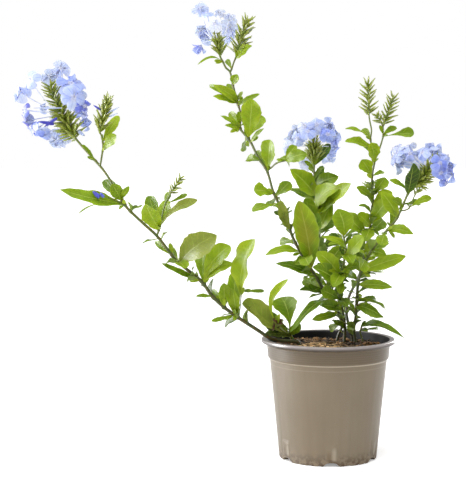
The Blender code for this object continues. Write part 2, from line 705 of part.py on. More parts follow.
def head_stem(clear):
    """Upright stem at the back of the bush that carries the middle flower head."""
    main = [(342, 325, 33), (337, 310, 35), (332, 296, 37), (328, 282, 39), (324, 265, 42),
            (321, 250, 45), (319, 232, 48), (317, 215, 52), (316, 200, 56), (314.5, 180, 61),
            (314, 167, 64), (314, 153, 66)]
    leaves = [
        (315, 192, 292, 170, -18, 15, 0.06, 0, 1.0), (316, 199, 286, 187, 5, 9, 0.05, 0, 0.5),
        (315, 186, 305, 176, 14, 7, 0.06, 0, 0.3), (315, 184, 337, 176.5, -12, 12, 0.08, 0, 0.7),
        (315, 182, 323, 167, 9, 7, 0.05, 0, 0.3), (317, 209, 335, 189, -32, 16, 0.06, -10, 1.0),
        (317, 215, 353, 186, -37, 14, 0.05, -10, 0.9), (318, 225, 309, 205, -23, 10, 0.05, 0, 0.5),
        (319, 235, 335, 215, 18, 14, 0.05, 0, 0.8), (320, 245, 307, 222, 23, 13, 0.05, 0, 0.7),
        (321, 250, 340, 238, 23, 15, 0.06, 0, 0.8), (324, 265, 316, 240, 18, 14, 0.05, 0, 0.7),
        (326, 272, 345, 262, 18, 12, 0.06, 0, 0.6), (328, 282, 318, 262, 14, 10, 0.05, 0, 0.5),
        (332, 296, 345, 285, 23, 9, 0.05, 0, 0.4), (337, 310, 352, 300, 28, 9, 0.05, 0, 0.4),
        (324, 265, 331, 258, 34, 14, 0.06, 0, 0.7), (319, 232, 311, 225, 35, 14, 0.06, 0, 0.7),
        (316, 200, 322, 191, 32, 13, 0.06, 0, 0.6), (330, 288, 338, 283, 30, 13, 0.06, 0, 0.6),
        (317, 212, 304, 207, -9, 9, 0.06, 0, 0.4), (319, 230, 331, 204, -14, 14, 0.05, 0, 0.8),
        (325, 268, 342, 246, -14, 13, 0.06, 0, 0.7), (330, 288, 309, 276, -9, 10, 0.06, 0, 0.5),
        (335, 304, 318, 300, 9, 11, 0.05, 0, 0.5), (341, 323, 329, 330, 9, 7, 0.15, 0, 0.3),
        (314, 165, 329, 141, -16, 10, 0.05, 10, 0.6), (314, 172, 304, 161, -14, 5, 0.1, 0, 0.2),
    ]
    extra = spike([(314, 166, 64), (314, 153, 66)], 8, clear, 0.8)
    return leafy("middle_head_stem", [(main, 1.8, 1.1)], leaves, extra, (0.14, 0.25, 0.03),
                 HEAD_FOOT)


def centre_shoot():
    """Leafy shoot in the middle of the bush, nearest the front."""
    main = [(345, 325, 7), (343, 312, 1), (340, 300, -6), (339, 288, -12), (341, 275, -18),
            (344, 262, -23), (346, 250, -27), (344, 238, -31), (341, 226, -34), (340, 219, -35)]
    leaves = [
        (344, 240, 338, 210, -14, 19, 0.06, 0, 1.0), (345, 250, 321, 240, -23, 8, 0.25, 0, 0.6),
        (340, 278, 322, 252, -18, 14, 0.06, 10, 0.8), (339, 284, 316, 268, -28, 17, 0.08, 0, 1.0),
        (345, 258, 363, 237, -23, 14, 0.08, 0, 0.8), (343, 270, 358, 266, -14, 9, 0.1, 0, 0.4),
        (340, 300, 322, 290, -18, 12, 0.07, 0, 0.6), (342, 309, 322, 305, -18, 11, 0.08, 0, 0.5),
        (341, 275, 335, 283, -30, 12, 0.08, 0, 0.6), (345, 256, 352, 262, -30, 13, 0.08, 0, 0.6),
        (340, 300, 347, 307, -27, 11, 0.1, 0, 0.5), (341, 279, 339, 294, -18, 8, 0.1, 0, 0.4),
    ]
    return leafy("centre_shoot", [(main, 1.6, 0.9)], leaves, [], (0.19, 0.28, 0.03), CENTRE_FOOT)


def tall_stem():
    """Upright stem with two tall spikes of closed buds and a bristly side cluster."""
    main = [(349, 326, 22), (346.5, 313, 23), (348, 300, 24), (352, 290, 25), (357, 281, 26),
            (361, 270, 27), (367, 245, 28), (370, 230, 29), (371, 215, 29), (373, 200, 29),
            (372, 180, 28), (375, 158, 27), (373.5, 150, 25), (370.5, 140, 23),
            (371.5, 130, 22), (369, 115, 21), (368, 84, 19)]
    twig = [(375, 159, 27), (378, 153, 30), (383, 137, 35), (383.5, 125, 37), (393, 98, 40)]
    cluster = [(383.5, 129, 36), (381, 122, 33), (377, 116, 31)]
    leaves = [
        (371, 140, 346, 128, -9, 6, 0.15, 20, 0.4), (371, 139, 363, 128, 9, 6, 0.05, 0, 0.2),
        (373, 150, 345, 141.5, -14, 10, 0.1, 10, 0.6), (374, 156, 361.5, 141, 14, 5, 0.05, 0, 0.2),
        (374, 162, 372, 144, -14, 13, 0.06, 0, 0.8), (372, 178, 363, 160, -14, 13, 0.06, 0, 0.8),
        (372, 176, 385, 171.5, 7, 5, 0.12, 0, 0.3), (373, 197, 385, 179, -12, 12, 0.06, 0, 0.8),
        (373, 200, 358, 187, -12, 8, 0.06, 0, 0.5), (371, 222, 388, 200, -18, 14, 0.05, 0, 0.8),
        (371, 226, 357, 214, -14, 13, 0.08, 0, 0.8), (368, 240, 348, 213, 18, 15, 0.06, 0, 0.9),
        (383, 137, 414, 133, -9, 9, 0.06, 0, 0.4), (383, 134, 397, 127, 12, 6, 0.1, 0, 0.3),
        (363, 262, 352, 240, 18, 12, 0.06, 0, 0.6), (368, 243, 375, 252, 33, 13, 0.08, 0, 0.6),
        (372, 192, 366, 183, 30, 12, 0.06, 0, 0.5), (370, 230, 365, 240, -27, 12, 0.08, 0, 0.5),
        (364, 258, 379, 243, -14, 14, 0.06, 0, 0.7), (369, 236, 384, 218, 16, 13, 0.05, 0, 0.7),
        (366, 250, 352, 232, 28, 12, 0.06, 0, 0.6), (360, 273, 347, 254, 14, 11, 0.05, 0, 0.5),
        (357, 281, 343, 270, 23, 9, 0.05, 0, 0.4), (359, 276, 375, 262, 23, 11, 0.05, 0, 0.6),
    ]
    extra = spike([(369, 114, 21), (368, 84, 19)], 13)
    extra += spike([(384, 124, 37), (393, 98, 40)], 12)
    extra += spike([(381, 122, 33), (377, 116, 31)], 5)
    stems = [(main, 1.9, 0.7), (twig, 1.0, 0.7), (cluster, 0.8, 0.6)]
    return leafy("tall_bud_stem", stems, leaves, extra, (0.19, 0.31, 0.03), TALL_FOOT)


def right_branch(clear):
    """Branch that sweeps out to the right under the right flower head."""
    main = [(354, 328, 5), (356, 316, 1), (357, 300, -5), (358, 285, -10), (361, 272, -14),
            (366, 260, -18), (373, 249, -22), (379, 240, -25), (390, 227, -29), (396, 220, -31),
            (400, 212, -32), (406, 198, -34), (409, 192, -35), (413, 187, -36), (423, 177, -38)]
    twig = [(400, 211, -32), (406, 210, -37), (410, 207, -40), (414, 197, -43), (419, 189, -45)]
    leaves = [
        (397, 216, 383, 192, -12, 13, 0.06, 0, 0.8), (402, 208, 393, 200, -14, 9, 0.06, 0, 0.4),
        (409, 192, 391, 179.5, -9, 5, 0.12, 0, 0.3), (408, 194, 414, 168, -28, 13, 0.05, 0, 0.8),
        (410, 208, 431, 197.5, -9, 7, 0.12, 0, 0.4), (388, 229, 413, 233, -14, 9, 0.15, 0, 0.6),
        (371, 252, 387, 256, -12, 8, 0.12, 0, 0.5), (362, 271, 405, 255.5, -18, 11, 0.05, 10, 1.1),
        (358, 284, 392, 286, -14, 9, 0.08, 0, 0.6), (357, 302, 378, 299, 18, 6, 0.1, 0, 0.4),
        (356, 306, 384, 317, -18, 10, 0.15, 0, 0.7), (357, 298, 388, 311, 28, 6, 0.15, 0, 0.3),
        (390, 227, 396, 207, 14, 8, 0.05, 0, 0.4), (366, 260, 384, 238, 23, 12, 0.05, 0, 0.6),
        (366, 260, 360, 268, -32, 13, 0.08, 0, 0.6), (384, 234, 381, 245, -28, 11, 0.08, 0, 0.5),
        (362, 270, 386, 270, 21, 9, 0.06, 0, 0.4), (403, 205, 420, 203, 12, 7, 0.08, 0, 0.3),
    ]
    extra = spike([(412, 188, -36), (423, 177, -38)], 9, clear, 0.85)
    extra += spike([(415, 195, -43.5), (419, 189, -45)], 3)
    stems = [(main, 1.9, 1.1), (twig, 0.8, 0.6)]
    return leafy("right_branch", stems, leaves, extra, (0.17, 0.29, 0.03), RIGHT_FOOT)


def low_shoot():
    """Short shoot by the right rim with one long arching leaf."""
    main = [(360, 333, 14), (361, 329, 12), (362, 325, 10)]
    leaves = [
        (361, 328, 404, 336.5, -28, 9, 0.30, 0, 0.5), (361, 330, 381, 331.5, 14, 6, 0.25, 0, 0.3),
    ]
    return leafy("low_right_shoot", [(main, 1.3, 0.9)], leaves, [], (0.15, 0.24, 0.05), LOW_FOOT)


def build():
    """The whole potted plant."""
    for old in list(bpy.data.objects):
        bpy.data.objects.remove(old)
    pot()
    feet = [(LEFT_FOOT, 2.2), (BASAL_FOOT, 1.6), (MIDDLE_FOOT, 2.0), (HEAD_FOOT, 1.8),
            (CENTRE_FOOT, 1.6), (TALL_FOOT, 1.9), (RIGHT_FOOT, 1.9), (LOW_FOOT, 1.3)]
    soil([(foot, radius * 0.001 + 0.0007) for foot, radius in feet])
    blue = (0.30, 0.42, 0.86)
    bud = (0.20, 0.26, 0.05)
    _, left = bloom("left_flowers", [(65.8, 121.6, -32), (60, 110, -32), (55.6, 101.3, -32)],
                    LEFT_FLOWERS, blue)
    _, top = bloom("top_flowers", [(218.9, 46.5, 36), (217, 38, 36)], TOP_FLOWERS, blue)
    _, middle = bloom("middle_flowers", [(314, 152.5, 66), (313.5, 141, 66)],
                      MIDDLE_FLOWERS, blue)
    _, right = bloom("right_flowers", [(423.5, 176.6, -38), (430, 168, -39)],
                     RIGHT_FLOWERS, blue)
    bud_cone("left_buds", [(55.4, 100.9, -32), (50, 85, -32)], 10, bud, left)
    bud_cone("top_buds", [(216.9, 37.5, 36), (216, 28, 36)], 7, bud, top)
    bud_cone("middle_buds", [(313.5, 140.5, 66), (313, 131, 66)], 7, bud, middle)
    bud_cone("right_buds", [(430.3, 167.6, -39), (435.5, 160.5, -39)], 7, bud, right)
    left_branch(left)
    basal_shoot()
    middle_branch(top)
    head_stem(middle)
    centre_shoot()
    tall_stem()
    right_branch(right)
    low_shoot()


build()
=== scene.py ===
# %% [markdown]
# # A potted cape leadwort
# A young leadwort in a nursery pot: long arching stems, spoon-shaped leaves, sticky bud
# spikes and pale blue flowers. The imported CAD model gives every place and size. This
# lesson dresses it: each CAD solid is replaced by finer shells that keep its form.

import bmesh
import bpy
import numpy as np
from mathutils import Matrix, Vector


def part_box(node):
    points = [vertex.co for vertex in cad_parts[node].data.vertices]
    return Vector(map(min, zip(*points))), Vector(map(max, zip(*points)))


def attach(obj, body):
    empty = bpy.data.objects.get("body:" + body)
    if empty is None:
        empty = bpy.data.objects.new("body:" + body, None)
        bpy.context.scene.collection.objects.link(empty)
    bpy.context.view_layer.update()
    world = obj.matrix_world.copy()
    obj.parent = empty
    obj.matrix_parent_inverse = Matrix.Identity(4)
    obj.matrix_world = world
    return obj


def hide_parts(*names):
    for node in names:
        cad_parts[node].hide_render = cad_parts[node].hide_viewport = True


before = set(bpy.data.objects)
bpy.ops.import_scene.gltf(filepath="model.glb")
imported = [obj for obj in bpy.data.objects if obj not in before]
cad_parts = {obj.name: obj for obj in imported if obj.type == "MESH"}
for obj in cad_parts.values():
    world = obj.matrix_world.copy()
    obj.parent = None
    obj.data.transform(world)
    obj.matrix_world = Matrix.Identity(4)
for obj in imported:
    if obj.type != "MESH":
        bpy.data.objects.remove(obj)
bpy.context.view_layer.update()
draw = np.random.default_rng(7)

# %% [markdown]
# ## Sizes
# The pot is a nursery pot with a 150 mm rim, and its box gives the rim, the height and
# the ground. The flower sizes are the species' own: a limb 30 mm across on a slender
# tube 33 mm long, and a ribbed calyx 12 mm long. They are named once here, so that one
# number changes every piece that uses it.

# %% Sizes in metres
_, pot_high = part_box("pot")
RIM_RADIUS = pot_high.x
POT_HEIGHT = pot_high.z
FOOT_RADIUS = 0.0546
LEDGE_HEIGHT = 0.111
LEDGE_RADIUS = 0.0656
COLLAR_RADIUS = 0.0677
LIP_HEIGHT = 0.0045
WALL = 0.0018
FLOOR = 0.0060
FOOT_RISE = 0.0040
PAD_RADIUS = 0.022
DRAIN_RADIUS = 0.0042
DRAIN_RING = 0.0345
NOTCH_HALF = 0.0080
NOTCH_RISE = 0.0042
SOIL_HEIGHT = 0.1235
SOIL_MOUND = 0.0030
ROOT_DEPTH = 0.024

CALYX_LENGTH = 0.0124
CALYX_RADIUS = 0.00098
GLAND_RADIUS = 0.00012
LIMB_RADIUS = 0.0150
LOBE_HALF = 0.0079
TUBE_LENGTH = 0.033
TUBE_RADIUS = 0.00058
ELBOW_REACH = 0.012
LEAST_AWAY = 0.006
ANTHER_LENGTH = 0.0014
ANTHER_RADIUS = 0.00024
print(f"pot rim {2000 * RIM_RADIUS:.0f} mm across and {1000 * POT_HEIGHT:.0f} mm high")

# %% [markdown]
# ## Where things grow
# The plant is laid out on a sheet seen from in front: a mark is a column, a row and a
# depth in millimetres behind the pot's axis. One ray from the eye through the column
# and the row meets the upright plane at that depth. The same eye is the camera, so a
# leaf that is set by its mark stands on its stem from every side.

# %% The sheet and its eye
EYE = np.array([-0.107, -1.456, 0.339])
EYE_TILT = np.radians(3.75)
SHEET_REACH = 1306.0
SHEET_MIDDLE = np.array([233.0, 240.5])
AHEAD = np.array([0.0, np.cos(EYE_TILT), -np.sin(EYE_TILT)])
OVERHEAD = np.array([0.0, np.sin(EYE_TILT), np.cos(EYE_TILT)])
RIGHTWARD = np.array([1.0, 0.0, 0.0])


def spot(marks):
    """World points of marks: the eye plus its ray, stretched to the mark's depth."""
    col, row, depth = np.moveaxis(np.asarray(marks, float), -1, 0)
    across = (col - SHEET_MIDDLE[0]) / SHEET_REACH
    rise = (SHEET_MIDDLE[1] - row) / SHEET_REACH
    ray = AHEAD + across[..., None] * RIGHTWARD + rise[..., None] * OVERHEAD
    reach = (depth * 0.001 - EYE[1]) / ray[..., 1]
    return EYE + ray * reach[..., None]


def seen(points):
    """Columns and rows of world points: across and up over the distance ahead."""
    away = points - EYE
    ahead = away @ AHEAD
    col = SHEET_MIDDLE[0] + SHEET_REACH * (away @ RIGHTWARD) / ahead
    row = SHEET_MIDDLE[1] - SHEET_REACH * (away @ OVERHEAD) / ahead
    return np.stack([col, row], -1)


print("the rim's middle is seen at", seen(np.array([0.0, 0.0, POT_HEIGHT])).round(1))

# %% [markdown]
# ## Vectors for many shapes at once
# Hundreds of leaves and petals share one formula, so vectors are kept in arrays, one
# row for each shape, and a few small functions work on all the rows together.

# %% Vector helpers


def unit(vectors):
    """Vectors divided by their lengths."""
    return vectors / np.maximum(np.linalg.norm(vectors, axis=-1, keepdims=True), 1e-12)


def square_to(ways):
    """Unit vectors square to each way: its cross product with z, or with x where it is steep."""
    axis = np.where(np.abs(ways[..., 2:3]) < 0.8, [0.0, 0.0, 1.0], [1.0, 0.0, 0.0])
    return unit(np.cross(ways, axis))


def round_angles(count):
    """Even angles once round a circle."""
    return np.linspace(0.0, 2.0 * np.pi, count, endpoint=False)


def ring_round(way, side, turn):
    """Unit steps round a way: side by the turn's cosine, and the third axis by its sine."""
    over = np.cross(way, side)
    return side[..., None, :] * np.cos(turn)[:, None] + over[..., None, :] * np.sin(turn)[:, None]


def turned_by(vectors, axes, angles):
    """Vectors turned about unit axes: cosine part, sine part and the part along the axis."""
    cosine = np.cos(angles)[..., None]
    sine = np.sin(angles)[..., None]
    along = np.sum(vectors * axes, -1, keepdims=True) * axes
    return vectors * cosine + np.cross(axes, vectors) * sine + along * (1.0 - cosine)


def smooth_run(points, steps=8):
    """Curve through points: the cubic whose slope at each is half its neighbours' chord."""
    knots = np.vstack([2 * points[0] - points[1], points, 2 * points[-1] - points[-2]])
    a, b, c, d = (knots[k:len(knots) - 3 + k, None] for k in range(4))
    t = np.linspace(0.0, 1.0, steps, endpoint=False)[None, :, None]
    bend = (2 * a - 5 * b + 4 * c - d) * t ** 2 + (3 * b - a - 3 * c + d) * t ** 3
    run = b + 0.5 * ((c - a) * t + bend)
    return np.vstack([run.reshape(-1, 3), points[-1:]])


def at(place, far, points):
    """Points of a run at distances along it, straight between the points that it has."""
    return np.stack([np.interp(place, far, points[:, k]) for k in range(3)], -1)


def even_run(points, spacing):
    """The same curve with points an even distance apart, and that distance from its start."""
    steps = np.linalg.norm(np.diff(points, axis=0), axis=1)
    far = np.concatenate([[0.0], np.cumsum(steps)])
    stops = np.linspace(0.0, far[-1], max(int(far[-1] / spacing), 3) + 1)
    return at(stops, far, points), stops


arc, arc_far = even_run(smooth_run(np.array([[0, 0, 0], [1, 1, 0], [2, 0, 0.0]])), 0.1)
print(f"a curve through three corners is {arc_far[-1]:.2f} long in {len(arc)} points")

# %% [markdown]
# ## From grids to a piece
# Every shell is a grid: rows along it and points round it, the last joined to the
# first. A pole is a whole row in one place, which welding closes. Each point carries
# four numbers that the finish reads: how far along its own leaf or petal it lies, how
# far across, the tone of that one leaf, and whether it is on the underside.

# %% Gather shells and make pieces
WELD = 1e-6
LEAST_EDGE = 1e-7


class Growth:
    """Closed shells that are gathered for one piece."""

    def __init__(self):
        self.points = []
        self.faces = []
        self.blade = []
        self.under = []
        self.count = 0

    def add(self, points, along=0.0, across=0.0, tone=0.5, under=0.0):
        """Add shells from points shaped (shells, rows, around, 3)."""
        shape = points.shape[:3]
        index = np.arange(np.prod(shape)).reshape(shape) + self.count
        near = index[:, :-1]
        far = index[:, 1:]
        corners = [near, np.roll(near, -1, 2), np.roll(far, -1, 2), far]
        marks = [np.broadcast_to(value, shape).ravel() for value in (along, across, tone)]
        self.points.append(points.reshape(-1, 3))
        self.faces.append(np.stack(corners, -1).reshape(-1, 4))
        self.blade.append(np.stack(marks, -1))
        self.under.append(np.broadcast_to(under, shape).ravel())
        self.count += index.size

    def piece(self, name, finish, nodes, slot, crease=60.0):
        """One object of the gathered shells that stands for CAD nodes."""
        mesh = bpy.data.meshes.new(name)
        points = np.concatenate(self.points)
        mesh.from_pydata(points, [], np.concatenate(self.faces))
        blade = mesh.attributes.new("blade", "FLOAT_VECTOR", "POINT")
        blade.data.foreach_set("vector", np.concatenate(self.blade).astype(np.float32).ravel())
        under = mesh.attributes.new("under", "FLOAT", "POINT")
        under.data.foreach_set("value", np.concatenate(self.under).astype(np.float32))
        return shown(mesh, name, finish, nodes, crease)


def shown(mesh, name, finish, nodes, crease):
    """Weld a mesh, turn its faces outward and put it on the body in place of nodes."""
    work = bmesh.new()
    work.from_mesh(mesh)
    bmesh.ops.remove_doubles(work, verts=work.verts, dist=WELD)
    bmesh.ops.dissolve_degenerate(work, edges=work.edges, dist=LEAST_EDGE)
    bmesh.ops.recalc_face_normals(work, faces=work.faces)
    work.to_mesh(mesh)
    work.free()
    mesh.shade_smooth()
    mesh.set_sharp_from_angle(angle=np.radians(crease))
    made = bpy.data.objects.new(name, mesh)
    bpy.context.scene.collection.objects.link(made)
    made.data.materials.append(finish.material)
    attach(made, "root")
    if nodes:
        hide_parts(*nodes)
    print(f"{name}: {len(mesh.polygons)} faces")
    return made


sample = Growth()
sample.add(np.zeros((1, 4, 6, 3)))
print("a shell of 4 rows of 6 points has", len(sample.faces[0]), "faces")

# %% [markdown]
# ## Writing a finish as sums
# A finish is what the eye sees on a surface: its colour, its gloss and its fine relief.
# It could be painted as pictures, but sums of places and noise stay sharp at any size.
# A Wire wraps one socket, and adding, multiplying or dividing wires adds the Math nodes.

# %% A wire in a sum


class Wire:
    """One output socket of a finish, used in sums."""

    def __init__(self, finish, socket):
        self.finish = finish
        self.socket = socket

    def sum_of(self, operation, *values, clamp=False):
        settings = {"operation": operation, "use_clamp": clamp}
        return self.finish.add("ShaderNodeMath", settings, dict(enumerate(values)))

    def __add__(self, other):
        return self.sum_of("ADD", self, other)

    def __sub__(self, other):
        return self.sum_of("SUBTRACT", self, other)

    def __rsub__(self, other):
        return self.sum_of("SUBTRACT", other, self)

    def __mul__(self, other):
        return self.sum_of("MULTIPLY", self, other)

    def __truediv__(self, other):
        return self.sum_of("DIVIDE", self, other)

    def __rtruediv__(self, other):
        return self.sum_of("DIVIDE", other, self)

    def __pow__(self, other):
        return self.sum_of("POWER", self, other)

    def __neg__(self):
        return self.sum_of("MULTIPLY", self, -1.0)

    def __abs__(self):
        return self.sum_of("ABSOLUTE", self)

    __radd__ = __add__
    __rmul__ = __mul__

    def part(self):
        """What is left after the whole number."""
        return self.sum_of("FRACT", self)

    def wave(self):
        """The sine."""
        return self.sum_of("SINE", self)

    def held(self):
        """Kept between 0 and 1."""
        return self.sum_of("ADD", self, 0.0, clamp=True)

    def rise(self, low, high):
        """0 at low, 1 at high and straight between, also where high is the smaller."""
        return ((self - low) / (high - low)).held()


def paint(red, green, blue):
    """Linear colour of screen values from 0 to 255."""
    screen = np.array([red, green, blue]) / 255.0
    linear = np.where(screen <= 0.04045, screen / 12.92, ((screen + 0.055) / 1.055) ** 2.4)
    return (*linear.tolist(), 1.0)


print(f"screen grey 128 is {paint(128, 128, 128)[0]:.3f} in linear light")

# %% [markdown]
# ## One finish
# A Finish holds one material and makes all its nodes by one method. Colours go through
# Mix nodes, because a Math node would turn them grey. The blade and under numbers come
# from the grid, so a vein or a rib follows its own leaf wherever the leaf turns.

# %% A finish


class Finish:
    """One material, built node by node."""

    def __init__(self, name, **sockets):
        self.material = bpy.data.materials.new(name)
        self.material.use_nodes = True
        self.tree = self.material.node_tree
        self.shader = self.tree.nodes["Principled BSDF"]
        for socket, value in sockets.items():
            self.shader.inputs[socket.replace("_", " ")].default_value = value

    def __repr__(self):
        return f"{self.material.name}: {len(self.tree.nodes)} nodes"

    def add(self, kind, settings=None, inputs=None, output=0):
        """A node of any kind: settings first, then the values or links of its sockets."""
        node = self.tree.nodes.new(kind)
        for key, value in (settings or {}).items():
            if key == "stops":
                self.set_stops(node.color_ramp, value)
            else:
                setattr(node, key, value)
        for key, value in (inputs or {}).items():
            self.feed(node.inputs[key], value)
        return Wire(self, node.outputs[output])

    def set_stops(self, ramp, stops):
        """Give a ramp its colours at their places."""
        while len(ramp.elements) < len(stops):
            ramp.elements.new(0.5)
        for element, (place, colour) in zip(ramp.elements, stops):
            element.position = place
            element.color = colour

    def feed(self, socket, value):
        """Link a wire, or set a plain value."""
        if isinstance(value, Wire):
            self.tree.links.new(value.socket, socket)
        else:
            socket.default_value = value

    def set(self, name, value):
        """Feed one socket of the surface shader."""
        self.feed(self.shader.inputs[name], value)

    def split(self, vector):
        """The three numbers of a vector."""
        node = self.add("ShaderNodeSeparateXYZ", None, {0: vector})
        outputs = node.socket.node.outputs
        return [Wire(self, outputs[k]) for k in range(3)]

    def blade(self):
        """Along, across and tone of the leaf, petal or chip that is shaded."""
        return self.split(self.add("ShaderNodeAttribute", {"attribute_name": "blade"}, output=1))

    def under(self):
        """1 on an underside and 0 on an upper side."""
        return self.add("ShaderNodeAttribute", {"attribute_name": "under"}, output=2)

    def place(self):
        """Object coordinates."""
        return self.add("ShaderNodeTexCoord", output=3)

    def noise(self, scale, detail=3.0, vector=None):
        """Soft noise from 0 to 1."""
        values = {"Vector": vector or self.place(), "Scale": scale, "Detail": detail}
        return self.add("ShaderNodeTexNoise", None, values)

    def cells(self, scale, feature="F1"):
        """Distance to the nearest of scattered points."""
        values = {"Vector": self.place(), "Scale": scale}
        return self.add("ShaderNodeTexVoronoi", {"feature": feature}, values)

    def mix(self, low, high, share):
        """Colour low where share is 0 and colour high where it is 1."""
        settings = {"data_type": "RGBA", "clamp_factor": True}
        return self.add("ShaderNodeMix", settings, {0: share, 6: low, 7: high}, output=2)

    def bump(self, height, strength, depth):
        """Let a height in shares of a depth in metres tilt the surface."""
        values = {"Height": height, "Strength": strength, "Distance": depth}
        self.set("Normal", self.add("ShaderNodeBump", None, values))


# %% [markdown]
# ## The pot's finish
# The pot is thin moulded polypropylene in a warm taupe. It has a soft sheen, a fine
# grain from the mould and a little dust, which gathers low down and dulls the gloss.
# Its marks, and the highlights and shade painted at its lip, ledge and pads, lie at fixed
# heights and at fixed turns round the axis, so they are written as sums of the place on
# the pot and need no picture.

# %% Finish: taupe plastic


def pot_finish():
    """Taupe outside and black inside, a greyer lip, painted highlights and shade at the lip, the
    ledge and the pads over the notches, and a stained foot.
    """
    made = Finish("taupe moulded plastic", Specular_IOR_Level=0.5)
    inside = made.under()
    place = made.place()
    x, y, z = made.split(place)
    clouds = made.noise(22.0, 2.0)
    streaks = made.noise(1.0, 2.0, made.add(
        "ShaderNodeMapping", None, {"Vector": place, "Scale": (160.0, 160.0, 5.0)}))
    colour = made.mix(paint(114, 100, 79), paint(128, 115, 93), clouds)
    colour = made.mix(colour, paint(104, 89, 69), streaks * 0.4)

    # the collar is ringed by the mould, and a painted highlight runs as a pale line where it meets
    # the wall
    collar = z.rise(LEDGE_HEIGHT + 0.001, LEDGE_HEIGHT + 0.003)
    rings = (z * 2600.0).wave() * 0.5 + 0.5
    colour = made.mix(colour, made.mix(paint(90, 75, 54), paint(98, 84, 62), rings), collar)
    bead_highlight = abs(z - (LEDGE_HEIGHT + 0.0008)).rise(0.0010, 0.0003)
    colour = made.mix(colour, paint(184, 170, 150), bead_highlight * (0.45 + streaks * 0.4))
    low_line = abs(z - (LEDGE_HEIGHT - 0.0050)).rise(0.0008, 0.0002)
    colour = made.mix(colour, paint(150, 137, 118), low_line * 0.35)

    # the lip is greyer and painted darker on its side as shade; the groove under it has a painted
    # shadow line, and a painted highlight runs pale along its top
    lip_low = POT_HEIGHT - LIP_HEIGHT
    colour = made.mix(colour, paint(88, 79, 72), z.rise(lip_low - 0.0004, lip_low + 0.0004))
    colour = made.mix(colour, paint(50, 42, 36), abs(z - lip_low).rise(0.0010, 0.0004) * 0.8)
    lip_top_highlight = z.rise(lip_low + 0.0016, lip_low + 0.0028)
    colour = made.mix(colour, paint(146, 138, 136), lip_top_highlight * (0.75 + streaks * 0.3))

    # dust lies low on the wall, and damp has stained the foot
    dust = (z.rise(0.030, 0.0) * made.noise(120.0).rise(0.35, 0.75)).held()
    stain = z.rise(0.0150, 0.001) * made.noise(190.0).rise(0.42, 0.55)
    colour = made.mix(colour, paint(136, 116, 88), dust * 0.45)
    colour = made.mix(colour, paint(72, 52, 34), stain * 0.85)

    # over each notch the wall has a raised pad, with a painted highlight on its right and painted
    # shade on its left
    sixth = x.sum_of("ARCTAN2", x, -y) * (3.0 / np.pi) + 0.5
    aside = (sixth.part() - 0.5) * (FOOT_RADIUS * np.pi / 3.0)
    pad = abs(aside).rise(0.0068, 0.0050) * z.rise(0.0250, 0.0205) * z.rise(0.0055, 0.0075)
    pad_highlight = abs(aside - 0.0030).rise(0.0034, 0.0006) * z.rise(0.0235, 0.0165)
    pad_shade = abs(aside + 0.0026).rise(0.0034, 0.0012) * z.rise(0.0185, 0.0130)
    colour = made.mix(colour, paint(170, 160, 142), pad_highlight * pad * 0.45)
    colour = made.mix(colour, paint(94, 78, 54), pad_shade * z.rise(0.0040, 0.0075) * 0.5)

    made.set("Base Color", made.mix(colour, paint(12, 12, 13), inside))
    made.set("Roughness", 0.30 + clouds * 0.08 + dust * 0.3 + stain * 0.3 + inside * 0.65)
    made.bump((made.noise(1400.0, 2.0) + streaks * 0.6) * 0.04 + pad * 0.6, 0.8, 0.0012)
    return made


taupe_plastic = pot_finish()
print(taupe_plastic)

# %% [markdown]
# ## The pot
# The pot is one turned wall with a rolled lip, a collar, a ledge and a notched foot. It
# could be spun and then cut, but cut edges are sharp and the real ones are moulded. So
# its outline, with every corner rounded, is carried round the axis as a grid, and near
# each of the six notches the foot's lower edge is simply lifted to an arch.

# %% Pot surface
POT_AROUND = 180


def rounded(outline, radius):
    """Outline with each corner replaced by a curve: five points of its three-point arc."""
    corners = np.asarray(outline, float)
    back = np.roll(corners, 1, 0) - corners
    ahead = np.roll(corners, -1, 0) - corners
    back *= np.minimum(radius / np.linalg.norm(back, axis=1), 0.45)[:, None]
    ahead *= np.minimum(radius / np.linalg.norm(ahead, axis=1), 0.45)[:, None]
    t = np.linspace(0.0, 1.0, 5)[None, :, None]
    arc = corners[:, None] + back[:, None] * (1 - t) ** 2 + ahead[:, None] * t ** 2
    return arc.reshape(-1, 2)


def pot_outline():
    """Outer wall up, over the rolled lip and down inside, as radius and height."""
    lip_low = POT_HEIGHT - LIP_HEIGHT
    # the foot's edge, the ledge and its collar, then the groove under the lip and the lip
    outer = [
        (FOOT_RADIUS - 0.0075, FOOT_RISE), (FOOT_RADIUS - 0.0065, 0.0), (FOOT_RADIUS, 0.0),
        (LEDGE_RADIUS, LEDGE_HEIGHT), (COLLAR_RADIUS, LEDGE_HEIGHT + 0.0022),
        (COLLAR_RADIUS + 0.0012, lip_low - 0.0018), (COLLAR_RADIUS + 0.0034, lip_low - 0.0010),
        (RIM_RADIUS, lip_low + 0.0004), (RIM_RADIUS, POT_HEIGHT - 0.0004),
    ]
    # the lip's top, then down the collar and the wall to the floor
    inner = [
        (RIM_RADIUS - 0.0030, POT_HEIGHT), (COLLAR_RADIUS + 0.0012, POT_HEIGHT - 0.0004),
        (COLLAR_RADIUS - 0.0006, POT_HEIGHT - 0.0020),
        (COLLAR_RADIUS - WALL, LEDGE_HEIGHT + 0.0040),
        (LEDGE_RADIUS - WALL, LEDGE_HEIGHT - 0.0010), (FOOT_RADIUS - WALL + 0.0004, FLOOR),
    ]
    return rounded(outer + inner, 0.0011)


